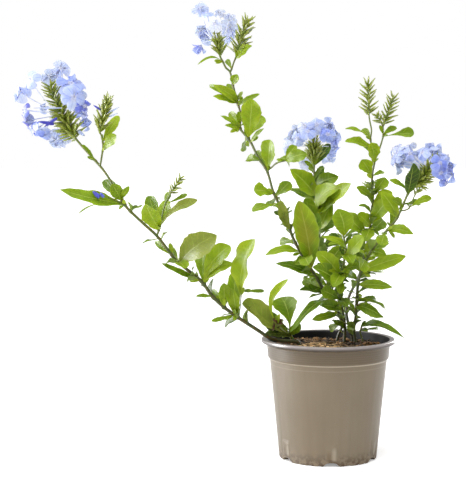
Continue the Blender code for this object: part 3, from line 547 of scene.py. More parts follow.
def pot_surface():
    """Point (height, turn): the outline carried round, its foot lifted by the notches."""
    ring = pot_outline()
    run = [(0.0, 0.0), (PAD_RADIUS * 0.5, 0.0), (PAD_RADIUS, 0.0), (PAD_RADIUS + 0.002, FOOT_RISE)]
    top = len(ring) - 1
    run = np.vstack([run, ring[:top], [(DRAIN_RING, FLOOR), (0.012, FLOOR), (0.0, FLOOR)]])
    turn = round_angles(POT_AROUND)
    radius = run[:, 0, None] * np.ones_like(turn)
    height = run[:, 1, None] * np.ones_like(turn)
    off = (turn + np.pi / 2 + np.pi / 6) % (np.pi / 3) - np.pi / 6
    across = np.clip(np.abs(off) * FOOT_RADIUS / NOTCH_HALF, 0.0, 1.0)
    arch = NOTCH_RISE * (1.0 - across ** 3) ** 0.5
    ragged = 0.0011 * np.maximum(np.sin(23.0 * turn + 2.5 * np.sin(7.0 * turn)), 0.0) ** 2
    foot = (radius > FOOT_RADIUS - 0.009) & (height < NOTCH_RISE)
    height = np.where(foot, np.maximum(height, np.maximum(arch, ragged)), height)
    return np.stack([radius * np.cos(turn), radius * np.sin(turn), height], -1)


def drain_cutters():
    """Six upright rods in a ring, midway between the notches."""
    turn = np.radians(-60.0 + 60.0 * np.arange(6))
    side = round_angles(20)
    radius = DRAIN_RADIUS * np.array([0.0, 1.0, 1.0, 0.0])
    height = np.array([0.001, 0.001, 0.011, 0.011])
    x = DRAIN_RING * np.cos(turn)[:, None, None] + radius[:, None] * np.cos(side)
    y = DRAIN_RING * np.sin(turn)[:, None, None] + radius[:, None] * np.sin(side)
    z = np.broadcast_to(height[None, :, None], x.shape)
    rods = Growth()
    rods.add(np.stack([x, y, z], -1))
    return rods


print(f"the outline has {len(pot_outline())} points, carried {POT_AROUND} times round")

# %% [markdown]
# ## Drain holes
# Six round holes let water out of the floor. They could be left out, since they face the
# ground, but the pot is seen from all sides. The wall is closed, so a Boolean can take
# six rods out of it, and what is left is closed too.

# %% Make the pot


def cut(body, cutter):
    """Take a cutter out of a body and remove it."""
    step = body.modifiers.new("drain holes", "BOOLEAN")
    step.operation = "DIFFERENCE"
    step.object = cutter
    with bpy.context.temp_override(object=body, active_object=body):
        bpy.ops.object.modifier_apply(modifier=step.name)
    bpy.data.objects.remove(cutter)


shell = Growth()
wall = pot_surface()[None]
lip_row = int(np.argmax(wall[0, :, 0, 2]))
shell.add(wall, under=(np.arange(wall.shape[1]) > lip_row + 5)[None, :, None] * 1.0)
pot = shell.piece("nursery_pot", taupe_plastic, ["pot"], "pot_plastic", 40.0)
rods = drain_cutters().piece("drain_rods", taupe_plastic, [], "pot_plastic")
cut(pot, rods)

# %% [markdown]
# ## Bark compost
# Composted bark is dark where it is damp and orange where it is newly torn. Here the
# damp is broken up by soft noise, and the chips left of and in front of the middle are
# painted pale orange and have no damp: a painted patch of light where light falls
# between the leaves. Each chip's own tone picks its colour, so no two neighbours look alike.

# %% Finish: bark
LIT_PATCH_SPOT = (-0.010, -0.020)


def bark_finish():
    """Dark umber to pale orange by each chip's tone, with a fine grain and a painted patch of
    light.
    """
    made = Finish("composted bark", Specular_IOR_Level=0.25)
    _, _, tone = made.blade()
    grain = made.noise(700.0, 4.0)
    stops = [(0.0, paint(44, 34, 20)), (0.4, paint(104, 78, 46)), (0.7, paint(176, 128, 76)),
             (1.0, paint(232, 196, 142))]
    ramp = made.add("ShaderNodeValToRGB", {"stops": stops}, {0: tone * 0.85 + grain * 0.35 - 0.15})
    x, y, _ = made.split(made.place())
    # a painted patch of light: round this spot the chips are painted pale orange and the damp is
    # left out
    aside = x - LIT_PATCH_SPOT[0]
    behind = y - LIT_PATCH_SPOT[1]
    lit_patch = ((aside * aside + behind * behind) ** 0.5).rise(0.042, 0.014)
    damp = made.noise(45.0, 2.0).rise(0.46, 0.62) * (1.0 - lit_patch)
    colour = made.mix(ramp, paint(252, 212, 158), lit_patch * tone.rise(0.1, 0.5) * 0.95)
    made.set("Base Color", made.mix(colour, paint(36, 28, 16), damp * 0.85))
    made.set("Roughness", 0.82 + grain * 0.15)
    made.bump(grain + made.noise(2600.0, 2.0) * 0.5, 0.7, 0.0006)
    return made


bark = bark_finish()
print(bark)

# %% [markdown]
# ## The heap of bark
# The filling is a low mound of torn chips. It could be one rough surface, but the chips
# cast small shadows on each other. So a mound gives the form, and hundreds of flat
# rounded boxes lie on it, each with its own size, tilt and tone.

# %% Compost surface
CHIPS = 950
CHIP_LEAST = (0.0010, 0.0008, 0.0003)
CHIP_MOST = (0.0042, 0.0023, 0.0009)
HEAP_RADIUS = 0.0640


def soil_height(x, y):
    """Low mound plus crossed waves that stand for crumbs."""
    radius = np.hypot(x, y) / COLLAR_RADIUS
    mound = SOIL_HEIGHT + SOIL_MOUND * (1.0 - radius ** 2)
    crumb = np.sin(x * 420.0 + 1.7 * np.sin(y * 310.0))
    crumb = crumb + np.sin(y * 460.0 + 1.9 * np.sin(x * 370.0 + 0.8))
    crumb = crumb + 0.7 * np.sin((x + y) * 730.0)
    return mound + 0.0006 * crumb


def mound_surface():
    """Point (row, turn): up the pot's inside wall, then in over the mound to its middle."""
    wall_radius = np.array([0.0, 0.0524, 0.0628, 0.0655])
    wall_height = np.array([FLOOR + 0.0003, FLOOR + 0.0003, 0.1096, 0.1215])
    turn = round_angles(150)
    rows = np.linspace(wall_radius[-1], 0.0, 46)[:, None]
    x = rows * np.cos(turn)
    y = rows * np.sin(turn)
    grit = 0.0004 * np.sin(x * 1900.0 + 2.0 * np.sin(y * 1500.0)) * np.sin(y * 1700.0)
    top = np.stack([x, y, soil_height(x, y) + grit], -1)
    wall = np.stack([wall_radius[:, None] * np.cos(turn), wall_radius[:, None] * np.sin(turn),
                     wall_height[:, None] * np.ones_like(turn)], -1)
    return np.concatenate([wall, top])


def chip_surfaces(count):
    """Rounded boxes: sine rows and squared-off rings, scaled and tilted one by one."""
    rise = np.linspace(0.0, np.pi, 6)[None, :, None]
    turn = round_angles(8)[None, None, :]
    ring = np.sin(rise) ** 0.5 * draw.uniform(0.75, 1.1, (count, 6, 8))
    shape = np.stack([
        ring * np.sign(np.cos(turn)) * np.abs(np.cos(turn)) ** 0.6,
        ring * np.sign(np.sin(turn)) * np.abs(np.sin(turn)) ** 0.6,
        -np.cos(rise) * np.ones((count, 6, 8))], -1)
    half = draw.uniform(CHIP_LEAST, CHIP_MOST, (count, 3))
    radius = HEAP_RADIUS * np.sqrt(draw.uniform(0.0, 1.0, count))
    spin = draw.uniform(0.0, 2.0 * np.pi, count)
    x = radius * np.cos(spin)
    y = radius * np.sin(spin)
    middle = np.stack([x, y, soil_height(x, y) + draw.uniform(0.0, 0.0011, count)], -1)
    up = unit(draw.normal([0.0, 0.0, 1.0], [0.33, 0.33, 0.1], (count, 3)))
    long = square_to(up)
    long = turned_by(long, up, draw.uniform(0.0, 2.0 * np.pi, count))
    axes = np.stack([long, np.cross(up, long), up], 1)
    points = np.einsum("nrak,nk,nkj->nraj", shape, half, axes)
    return points + middle[:, None, None]


compost = Growth()
compost.add(mound_surface()[None], tone=0.12)
tones = draw.beta(1.5, 1.6, CHIPS)[:, None, None]
compost.add(chip_surfaces(CHIPS), tone=tones)
compost.piece("bark_compost", bark, ["compost"], "bark_compost")

# %% [markdown]
# ## The stem's finish
# Young leadwort wood is green and finely ribbed, and it turns olive grey as it ages.
# The grid's third number is the age, which falls from root to tip, and a ramp turns it
# into a colour. Scattered points, kept small, are the bark's pale pores.

# %% Finish: stem


def stem_finish():
    """Olive grey at the root to yellow green at the tip, with ribs and pale pores."""
    made = Finish("leadwort stem", Specular_IOR_Level=0.4, Subsurface_Weight=0.05)
    _, turn, age = made.blade()
    mottle = made.noise(420.0, 3.0)
    pores = made.cells(1500.0).rise(0.16, 0.05)
    stops = [(0.0, paint(112, 132, 40)), (0.4, paint(86, 102, 36)), (0.75, paint(66, 80, 30)),
             (1.0, paint(54, 54, 28))]
    colour = made.add("ShaderNodeValToRGB", {"stops": stops}, {0: age + mottle * 0.3 - 0.15})
    colour = made.mix(colour, paint(156, 146, 112), pores * 0.35)
    made.set("Base Color", colour)
    made.set("Roughness", 0.5 + mottle * 0.2)
    made.bump((turn * (7.0 * np.pi)).wave() * 0.5 + mottle, 0.35, 0.0003)
    return made


green_stem = stem_finish()
print(green_stem)

# %% [markdown]
# ## Stems
# A real stem thins towards its tip and swells a little at each node, where a leaf
# joins it. A curve with a bevel would be round and plain, so the section is carried
# along the curve here, where its radius can follow the nodes and its ring the ribs.

# %% Stem surface
STEM_AROUND = 12
STEM_ASIDE = np.array([0.12, 1.0, 0.08])
NODE_SWELL = 0.28
NODE_REACH = 0.0017


def stem_surface(run, far, thick, thin, joints=()):
    """Point (along, turn): rings whose radius thins evenly and swells at the joints."""
    way = unit(np.gradient(run, axis=0))
    side = unit(np.cross(way, STEM_ASIDE))
    share = far / far[-1]
    radius = thick + (thin - thick) * share
    for joint in joints:
        radius = radius * (1.0 + NODE_SWELL * np.exp(-((far - joint) / NODE_REACH) ** 2))
    turn = round_angles(STEM_AROUND)
    ribs = 1.0 + 0.05 * np.cos(5.0 * turn)
    body = run[:, None] + ring_round(way, side, turn) * (radius[:, None] * ribs)[..., None]
    first = np.broadcast_to(run[:1, None], body[:1].shape)
    last = np.broadcast_to(run[-1:, None], body[:1].shape)
    return np.concatenate([first, body, last])


def grow_stem(growth, run, far, thick, thin, joints, old, young):
    """Add one stem whose age runs from old at its root to young at its tip."""
    surface = stem_surface(run, far, thick, thin, joints)
    rows = np.concatenate([[0.0], far / far[-1], [1.0]])[None, :, None]
    turn = np.linspace(0.0, 2.0, surface.shape[1], endpoint=False)
    growth.add(surface[None], rows, turn, old + (young - old) * rows)


print(f"a leaf swells its stem by {NODE_SWELL:.0%} over {2000 * NODE_REACH:.1f} mm")

# %% [markdown]
# ## The leaf's finish
# A leadwort leaf is fresh green and a little glossy above, pale and matt below. Its
# midrib is light, side veins run out at a slant, and the blade between them is faintly
# cushioned. The veins come from the leaf's own along and across numbers: lines where
# their slanted sum crosses a whole number.

# %% Finish: leaf


def leaf_finish():
    """Green by each leaf's tone, which also paints shade, with a rib, slanted veins, a fine net, a
    painted highlight at the edge and a pale back.
    """
    made = Finish("leadwort leaf", Specular_IOR_Level=0.24, Subsurface_Weight=0.15)
    made.set("Subsurface Radius", (0.6, 1.0, 0.15))
    made.set("Subsurface Scale", 0.003)
    along, across, tone = made.blade()
    under = made.under()
    out = abs(across)
    slant = (along * 8.0 - out * 1.5 + made.noise(60.0, 1.0) * 0.35).part()
    veins = abs(slant - 0.5).rise(0.43, 0.49) * out.rise(1.0, 0.7)
    rib = out.rise(0.075, 0.02) * along.rise(1.0, 0.8)
    net = made.cells(900.0, "DISTANCE_TO_EDGE").rise(0.10, 0.02)
    mottle = made.noise(95.0, 3.0)
    stops = [(0.0, paint(34, 52, 0)), (0.3, paint(80, 108, 2)), (0.65, paint(131, 153, 8)),
             (1.0, paint(168, 184, 28))]

    # young leaves are yellower, old ones darker and flushed brown, dried ones brown; a low tone
    # also paints shade on a leaf that stands in shadow, and the edges get a painted highlight
    aged = tone.rise(0.9, 0.92)
    shade = tone * 1.2 + mottle * 0.4 - 0.31 + along.rise(0.35, 0.0) * 0.2 + out * out * 0.08
    shade = shade - aged * (0.49 + along.rise(0.5, 0.0) * 0.3)
    colour = made.add("ShaderNodeValToRGB", {"stops": stops}, {0: shade})
    colour = made.mix(colour, paint(166, 190, 52), veins * 0.32 + net * 0.08)
    colour = made.mix(colour, paint(176, 190, 84), rib * 0.55)
    flush = aged * (made.noise(38.0, 2.0) - out * 0.35 + 0.2).rise(0.42, 0.7)
    colour = made.mix(colour, paint(132, 118, 26), flush * 0.5)
    colour = made.mix(colour, paint(72, 44, 24), tone.rise(1.05, 1.2))

    # the back is pale, and a few dull leaves are olive on both sides
    back = made.mix(paint(112, 134, 58), paint(150, 166, 88), mottle + veins * 0.3)
    colour = made.mix(colour, back, under * 0.8)
    olive = made.mix(paint(112, 124, 34), paint(154, 160, 66), mottle + veins * 0.25)
    made.set("Base Color", made.mix(colour, olive, tone.rise(0.0, -0.1) * 0.85))
    made.set("Roughness", 0.44 + under * 0.22 + mottle * 0.12)
    made.bump(0.5 - veins * 0.5 - rib * 0.8 - net * 0.12, 0.5, 0.0005)
    return made


green_leaf = leaf_finish()
print(green_leaf)

# %% [markdown]
# ## Leaves
# A leadwort leaf is spoon-shaped, folded on its rib, waved at its edge and a little
# twisted. It could be a flat card with its outline cut out, but a card has no edge and
# no fold. So a blade is a thin closed shell: its section is a loop, across the upper
# side and back along the lower one. All leaves of a branch are one array.

# %% Blade surface


def leaf_outline(u, lean):
    """Half width along a leaf: u^foot (1 - u^lean)^blunt over its own greatest value."""
    foot = 0.9 + 0.8 * np.maximum(lean - 2.6, 0.0)
    blunt = 0.34 + 0.72 / lean
    peak = foot / (foot + blunt * lean)
    most = peak ** (foot / lean) * (1.0 - peak) ** blunt
    return np.maximum(u ** foot * (1.0 - u ** lean) ** blunt / most, 0.08 * (1.0 - u))


def petal_outline(u, lean):
    """Half width along a petal: a narrow claw, a broad end and a rounded close."""
    return 1.12 * u ** lean * (1.0 - u ** 5) ** 0.5 + 0.2 * (1.0 - u)


def blade_surfaces(base, tip, up, half, arch, sweep, outline, rows, around, thick, fold=0.25,
                   wave=0.0, twist=0.0, curl=0.0, lean=2.2, scallop=0.0, turns=13.0):
    """Point (along u, loop angle): rib plus side times width plus up times fold and wave.

    The rib is the straight run from base to tip, lifted by 4 arch u (1 - u) and bowed
    by 4 sweep u (1 - u) of its length, and its end is raised by curl u^3. The loop's
    cosine goes across the blade and its sine gives the thickness. The section turns by
    twist u, its sides rise by fold |t|^1.4, its edge by wave t^2 sin(turns u), and the
    outline is scalloped by a finer sine.
    """
    def each(value):
        return np.broadcast_to(np.asarray(value, float), (len(base),))[:, None, None, None]

    u = np.sin(0.5 * np.pi * np.linspace(0.0, 1.0, rows))[None, :, None, None]
    loop = round_angles(around)[None, None, :, None]
    t = -np.cos(loop)
    run = (tip - base)[:, None, None]
    length = np.linalg.norm(run, axis=-1, keepdims=True)
    aside = np.cross(tip - base, up)
    side = unit(aside)[:, None, None]
    over = unit(np.cross(aside, tip - base))[:, None, None]
    turn = each(twist) * u
    flat = side * np.cos(turn) + over * np.sin(turn)
    lift = over * np.cos(turn) - side * np.sin(turn)
    hump = 4.0 * u * (1.0 - u)
    rib = base[:, None, None] + run * u
    rib = rib + over * length * (each(arch) * hump + each(curl) * u ** 3)
    rib = rib + side * length * each(sweep) * hump
    phase = draw.uniform(0.0, 2.0 * np.pi, len(base))[:, None, None, None]
    shape = outline(u, each(lean)) * (1.0 + each(scallop) * np.sin(phase + 34.0 * u + 2.0 * t))
    ripple = each(wave) * t ** 2 * np.sin(phase + turns * u + 1.3 * t) * shape
    raise_by = each(fold) * each(half) * shape * np.abs(t) ** 1.4 + ripple
    depth = 0.5 * each(thick) * np.sin(loop) * np.minimum(1.0, 0.35 + shape)
    points = rib + flat * each(half) * shape * t + lift * (raise_by + depth)
    points[:, 0] = base[:, None]
    points[:, -1] = points[:, -1].mean(axis=1, keepdims=True)
    return points, u[..., 0], t[..., 0], (0.5 - 3.0 * np.sin(loop[..., 0])).clip(0.0, 1.0)


def grow_blades(growth, tone, *args, **more):
    """Add blades and the numbers that their finish reads."""
    points, along, across, under = blade_surfaces(*args, **more)
    tone = np.broadcast_to(np.asarray(tone, float), (len(points),))
    growth.add(points, along, across, tone[:, None, None], under)


share = np.linspace(0.0, 1.0, 101)
for lean in (1.2, 2.4, 4.0):
    widest = share[leaf_outline(share, lean).argmax()]
    print(f"a leaf of lean {lean} is widest at {widest:.0%} of its length")

# %% [markdown]
# ## The bud spike's finish
# Leadwort calyces are green tubes with paler ends and brown tips, and they are covered
# with stalked glands that are sticky to the touch. One finish serves both: the under
# number is 1 on a gland, which makes it honey-coloured and glossier.

# %% Finish: calyx


def calyx_finish():
    """Green body, darker tip, and honey-coloured glands where the under number is 1."""
    made = Finish("sticky green calyx", Specular_IOR_Level=0.55, Subsurface_Weight=0.05)
    along, _, tone = made.blade()
    gland = made.under()
    mottle = made.noise(800.0, 2.0)
    colour = made.mix(paint(82, 104, 10), paint(146, 162, 40), tone + mottle * 0.4 - 0.2)
    colour = made.mix(colour, paint(176, 186, 78), along.rise(0.35, 0.85) * 0.6)
    colour = made.mix(colour, paint(110, 98, 56), along.rise(0.94, 1.0) * 0.5)
    colour = made.mix(colour, paint(128, 132, 50), gland)
    made.set("Base Color", colour)
    made.set("Roughness", 0.45 - gland * 0.25)
    made.bump(mottle, 0.25, 0.0003)
    return made


green_calyx = calyx_finish()
print(green_calyx)

# %% [markdown]
# ## Calyces and their glands
# A calyx is a spindle with five ribs that end in teeth, so its rings swell where the
# cosine of five turns is high. Its glands are drops on stalks. Fur would be lost when
# the meshes are written out, so each gland is a shell, the smallest one here.

# %% Calyx surfaces
GLANDS = 16
CALYX_AROUND = 10
CALYX_ROWS = np.array([0.0, 0.0, 0.06, 0.2, 0.4, 0.6, 0.78, 0.9, 1.0, 0.93])
CALYX_SWELL = np.array([0.0, 0.55, 0.8, 1.0, 0.98, 0.85, 0.66, 0.42, 0.15, 0.0])


def calyx_surfaces(base, way, length, radius):
    """Point (row, turn): ten points round, with every other one on a raised rib."""
    turn = round_angles(CALYX_AROUND)
    rib = np.cos(5.0 * turn)[None, :]
    height = CALYX_ROWS[:, None] * (1.0 + 0.05 * (rib - 1.0) * (CALYX_ROWS[:, None] > 0.8))
    swell = CALYX_SWELL[:, None] * (1.0 + 0.16 * rib)
    ring = ring_round(way, square_to(way), turn)[:, None]
    rise = way[:, None, None] * length[:, None, None, None] * height[None, ..., None]
    return base[:, None, None] + rise + ring * radius[:, None, None, None] * swell[None, ..., None]


def gland_surfaces(base, way, length, radius, count):
    """Drops on stalks: a point on the calyx, a small three-cornered head and its top."""
    total = len(base) * count
    share = draw.uniform(0.22, 0.97, total)
    origin = np.repeat(base, count, 0)
    along = np.repeat(way, count, 0)
    reach = np.repeat(length, count)
    spin = 2.0 * np.pi * np.round(draw.uniform(0.0, 5.0, total)) / 5.0
    out = turned_by(square_to(along), along, spin + draw.normal(0.0, 0.25, total))
    swell = np.interp(share, CALYX_ROWS[1:9], CALYX_SWELL[1:9])
    foot = origin + along * (reach * share)[:, None]
    foot = foot + out * (np.repeat(radius, count) * swell * 0.95)[:, None]
    lean = unit(out + along * draw.uniform(0.1, 0.6, (total, 1)))
    tall = draw.uniform(0.0006, 0.0011, total)
    ring = ring_round(lean, square_to(lean), np.radians([0.0, 120.0, 240.0]))
    head = foot + lean * (tall * 0.8)[:, None]
    top = foot + lean * tall[:, None]
    rows = [np.repeat(foot[:, None], 3, 1), head[:, None] + ring * GLAND_RADIUS,
            np.repeat(top[:, None], 3, 1)]
    return np.stack(rows, 1)


def grow_calyces(growth, base, way, length, radius):
    """Add calyces with their glands."""
    tone = draw.uniform(0.2, 0.9, len(base))[:, None, None]
    turn = np.linspace(0.0, 1.0, CALYX_AROUND, endpoint=False)
    growth.add(calyx_surfaces(base, way, length, radius), CALYX_ROWS[None, :, None], turn, tone)
    growth.add(gland_surfaces(base, way, length, radius, GLANDS), 0.5, 0.0, 0.6, under=1.0)


print(f"a calyx has {len(CALYX_ROWS) * CALYX_AROUND} points and is {1000 * CALYX_LENGTH} mm long")

# %% [markdown]
# ## A spike of calyces
# Calyces stand round a spike by the golden angle, which is how real buds miss each
# other. They lean out at the foot of the spike and close up at its tip. Set by hand
# they would look combed, so only the count, the lean and the size are given.

# %% Calyces round a spike
GOLDEN_ANGLE = 137.5


def spike_calyces(growth, points, count, start, end, wide, narrow, long, short):
    """Calyces round a run by the golden angle, with a small bract under each one.

    They stand between the start and end shares of the run. Their lean in degrees goes
    from wide to narrow, and their size from long to short.
    """
    run, far = even_run(points, 0.0008)
    way = unit(np.gradient(run, axis=0))
    share = np.linspace(0.0, 1.0, count)
    place = (start + (end - start) * share) * far[-1]
    base = at(place, far, run)
    along = unit(at(place, far, way))
    turn = np.radians(GOLDEN_ANGLE * np.arange(count) + 20.0)
    out = turned_by(square_to(along), along, turn)
    lean = np.radians(wide + (narrow - wide) * share + draw.normal(0.0, 6.0, count))
    aim = along * np.cos(lean)[:, None] + out * np.sin(lean)[:, None]
    size = long + (short - long) * share
    length = CALYX_LENGTH * size * draw.uniform(0.9, 1.06, count)
    radius = CALYX_RADIUS * (0.7 + 0.3 * size)
    grow_calyces(growth, base, aim, length, radius)
    tip = base + unit(aim + 0.4 * out) * (length * 0.62)[:, None]
    grow_blades(growth, 0.5, base, tip, along - out * 0.4, length * 0.10, 0.12, 0.0,
                leaf_outline, rows=6, around=6, thick=0.0003)


print(f"the fourth calyx stands {3 * GOLDEN_ANGLE % 360.0:.1f} degrees round from the first")

# %% [markdown]
# ## The petal's finish
# The flowers are periwinkle, nearly white where light comes through, with a darker
# line down the middle of each lobe and fine veins beside it. Deeper flowers are older,
# so the tone is each flower's own, and light that scatters inside keeps petals bright.

# %% Finish: petal


def petal_finish():
    """Pale to deep periwinkle by tone, with a mid line, fine veins and a pale throat."""
    made = Finish("periwinkle petal", Specular_IOR_Level=0.3, Subsurface_Weight=0.6)
    made.set("Subsurface Radius", (0.7, 0.8, 1.0))
    made.set("Subsurface Scale", 0.004)
    along, across, tone = made.blade()
    under = made.under()
    out = abs(across)
    line = out.rise(0.12, 0.03) * along.rise(0.98, 0.8)
    fine = abs((across * 4.0 + along * 0.4).part() - 0.5).rise(0.36, 0.47) * along.rise(1.0, 0.5)
    mottle = made.noise(160.0, 3.0)
    stops = [(0.0, paint(229, 234, 248)), (0.4, paint(173, 188, 245)), (0.75, paint(118, 134, 231)),
             (1.0, paint(68, 64, 164))]
    colour = made.add("ShaderNodeValToRGB", {"stops": stops}, {0: tone + mottle * 0.3 - 0.15})
    drawn = (line * 0.55 + fine * 0.16) * tone.rise(-0.2, 0.6)
    colour = made.mix(colour, paint(104, 116, 214), drawn)
    colour = made.mix(colour, paint(222, 224, 238), along.rise(0.22, 0.06) * 0.7)
    made.set("Base Color", made.mix(colour, paint(200, 208, 246), under * 0.3))
    made.set("Roughness", 0.52 + mottle * 0.15)
    made.bump(0.5 - line * 0.6 - fine * 0.3 + mottle * 0.4, 0.3, 0.0003)
    return made


def anther_finish():
    """Violet-blue pollen sacs with a dusty grain."""
    made = Finish("violet anther")
    grain = made.noise(3000.0, 2.0)
    made.set("Base Color", made.mix(paint(118, 112, 178), paint(186, 180, 220), grain))
    made.set("Roughness", 0.7 + grain * 0.2)
    return made


blue_petal = petal_finish()
violet_anther = anther_finish()
print(blue_petal)
print(violet_anther)

# %% [markdown]
# ## Flowers
# A leadwort flower is a very thin tube, about 33 mm long, that opens into five broad
# lobes. Its tube leaves the spike sideways, inside its calyx, and bends up to where
# the limb sits, so it is carried along a three-point curve and flares at its end.
# Five anthers just show in the throat, each a spindle of six small rings.

# %% Tube and anther surfaces
TUBE_ROWS = 14
TUBE_AROUND = 8


def tube_surfaces(root, elbow, centre):
    """Point (along, turn): rings on the curve root, elbow, centre, flared at the throat."""
    t = np.linspace(0.0, 1.0, TUBE_ROWS)[None, :, None]
    run = (1 - t) ** 2 * root[:, None] + 2 * t * (1 - t) * elbow[:, None] + t ** 2 * centre[:, None]
    way = unit((1 - t) * (elbow - root)[:, None] + t * (centre - elbow)[:, None])
    bend = np.cross(elbow - root, centre - elbow)
    plain = np.linalg.norm(bend, axis=1, keepdims=True) < 1e-8
    side = unit(np.where(plain, square_to(unit(centre - root)), bend))[:, None]
    side = unit(side - way * np.sum(side * way, -1, keepdims=True))
    radius = TUBE_RADIUS * (0.8 + 0.25 * t + 1.1 * t ** 14)
    body = run[:, :, None] + ring_round(way, side, round_angles(TUBE_AROUND)) * radius[..., None]
    ends = [np.repeat(run[:, k, None, None], TUBE_AROUND, 2) for k in (0, -1)]
    return np.concatenate([ends[0], body, ends[1]], 1)


def bead_surfaces(centre, way, length, radius):
    """Small spindles: sine rings along each way."""
    rise = np.linspace(0.0, np.pi, 6)
    ring = ring_round(way, square_to(way), round_angles(6))
    middle = centre[:, None] - way[:, None] * (0.5 * length * np.cos(rise))[None, :, None]
    return middle[:, :, None] + ring[:, None] * (radius * np.sin(rise))[None, :, None, None]


print(f"a tube is {2000 * TUBE_RADIUS:.2f} mm thick, an anther {1000 * ANTHER_LENGTH:.1f} mm long")

# %% [markdown]
# ## One limb of five lobes
# The limb faces the way its tube arrives, and a little to the front or to the back,
# away from the spike. One flower could be made and copied, but real lobes droop, fold
# and twist each in its own way. So each lobe is a petal blade with its own draws,
# worked out for a whole head at once.

# %% Grow flowers


def grow_flowers(petals, anthers, root, elbow, centre, size, bend, tone, outward):
    """Add flowers: a tube, five lobes and five anthers each."""
    count = len(root)
    push = np.sign(centre[:, 1:2] - root[:, 1:2]) * [0.0, outward, 0.0]
    along = unit(unit(centre - elbow) + push + draw.normal(0.0, 0.22, (count, 3)))
    side = square_to(along)
    spin = draw.uniform(0.0, 2.0 * np.pi, count)
    rows = np.linspace(0.0, 0.15, TUBE_ROWS + 2)[None, :, None]
    petals.add(tube_surfaces(root, elbow, centre), rows, 0.6, tone[:, None, None] * 0.5)
    for lobe in range(5):
        turn = spin + 2.0 * np.pi * lobe / 5.0 + draw.normal(0.0, 0.07, count)
        out = turned_by(side, along, turn)
        reach = LIMB_RADIUS * size * draw.uniform(0.92, 1.04, count)
        drop = bend * draw.uniform(0.5, 1.7, count) + draw.normal(0.0, 0.12, count)
        aim = out * np.cos(drop)[:, None] - along * np.sin(drop)[:, None]
        tip = centre + aim * reach[:, None]
        base = centre + out * (TUBE_RADIUS * 0.9) - along * 0.0004
        shade = tone + draw.normal(0.0, 0.06, count)
        grow_blades(petals, shade, base, tip, along, LOBE_HALF * size,
                    0.05 + 0.12 * np.maximum(bend, 0.0), outline=petal_outline, rows=12, around=12,
                    fold=draw.uniform(-0.3, 0.2, count), wave=0.0016 * size, turns=6.0,
                    curl=draw.normal(-0.1, 0.12, count), sweep=draw.normal(0.0, 0.05, count),
                    twist=draw.normal(0.0, 0.35, count), thick=0.0004,
                    lean=draw.uniform(0.55, 0.9, count))
        inside = centre + turned_by(out, along, np.full(count, 0.6)) * 0.0005 + along * 0.0001
        anthers.add(bead_surfaces(inside, unit(along + out * 0.2), ANTHER_LENGTH, ANTHER_RADIUS))


def closed_surfaces(marks):
    """Slim closed flowers between two marks each: spindles with five soft ribs."""
    table = np.array(marks, float)
    base = spot(table[:, :3])
    tip = spot(np.stack([table[:, 3], table[:, 4], table[:, 2]], -1))
    length = np.linalg.norm(tip - base, axis=1)
    return calyx_surfaces(base, unit(tip - base), length, table[:, 5] * 0.001)


def grow_closed(growth, marks):
    """Add closed flowers whose last number is their tone."""
    tone = np.array(marks, float)[:, 6, None, None]
    growth.add(closed_surfaces(marks), 0.2 + 0.8 * CALYX_ROWS[None, :, None], 0.5, tone)


print(f"a limb of size 1 is {2000 * LIMB_RADIUS:.0f} mm across")

# %% [markdown]
# ## Stems and leaves from marks
# A stem is a row of marks, with its thickness in mm at its foot and at its tip. A leaf
# is a row of numbers: its foot's column and row, its tip's column and row, how far
# behind its foot the tip lies, its width, arch, roll in degrees and wave. Where they
# are not plain, its tone, lean and sweep follow.
#
# The foot is the nearest stem point to its mark. A low tone is a dark green, which
# also paints shade on leaves that stand in shadow; below 0 is dull olive, above 0.9 aged
# and above 1.05 dried. A lean of 1.2 is pointed, 4 has a long stalk and a round end, and
# 0 is drawn. Small leaves sit in the corners between big ones and stem.

# %% Stems and leaves of a branch
FACING = np.array([0.0, -1.0, 0.5])
HALF_WIDTH = 0.00064
BIG_LEAF = 0.020
LEAF_REST = (0.5, 0.0, 0.0)


def branch_runs(stems, foot):
    """Even world curves of a branch's stems, the first rooted at its foot."""
    runs = []
    for number, (marks, thick, thin) in enumerate(stems):
        points = spot(marks)
        if number == 0 and foot:
            low = [[*foot, SOIL_HEIGHT - ROOT_DEPTH], [*foot, SOIL_HEIGHT + 0.004]]
            points = np.vstack([low, points])
        run, far = even_run(smooth_run(points), 0.0025)
        runs.append((run, far, thick * 0.001, thin * 0.001))
    return runs


def leaf_feet(leaves, runs):
    """Where each leaf joins: the branch point seen nearest to its mark."""
    points = np.vstack([run for run, *_ in runs])
    gap = np.linalg.norm(seen(points)[None] - leaves[:, None, :2], axis=-1)
    return points[np.argmin(gap, axis=1)]


def grow_leaves(growth, leaves, base):
    """Add the branch's leaves and the small ones in their corners."""
    _, _, col, row, depth, width, arch, roll, wave, tone, lean, sweep = leaves.T
    tip = spot(np.stack([col, row, base[:, 1] * 1000.0 + depth], -1))
    along = unit(tip - base)
    side = turned_by(unit(np.cross(along, FACING)), along, np.radians(roll))
    up = np.cross(side, along)
    count = len(leaves)
    lean = np.where(lean > 0.0, lean, draw.uniform(1.4, 3.4, count))
    grow_blades(growth, tone, base, tip, up, width * HALF_WIDTH, arch, sweep, leaf_outline,
                rows=24, around=14, fold=draw.uniform(0.15, 0.65, count), wave=wave * 0.0018,
                twist=draw.normal(0.0, 0.35, count), curl=draw.normal(-0.05, 0.06, count),
                thick=0.0006, lean=lean, scallop=0.045)
    big = np.linalg.norm(tip - base, axis=1) > BIG_LEAF
    start = np.repeat(base[big], 2, 0)
    way = np.repeat(along[big], 2, 0)
    small = len(start)
    aim = unit(way + draw.normal([0.0, -0.1, 0.35], 0.55, (small, 3)))
    reach = draw.uniform(0.006, 0.014, small)[:, None]
    grow_blades(growth, np.repeat(tone[big], 2) + draw.normal(0.05, 0.12, small), start,
                start + aim * reach, FACING + draw.normal(0.0, 0.3, (small, 3)),
                reach[:, 0] * 0.19, 0.08, 0.0, leaf_outline, rows=9, around=8, thick=0.0005)


print("a plain leaf has the tone, lean and sweep", LEAF_REST)

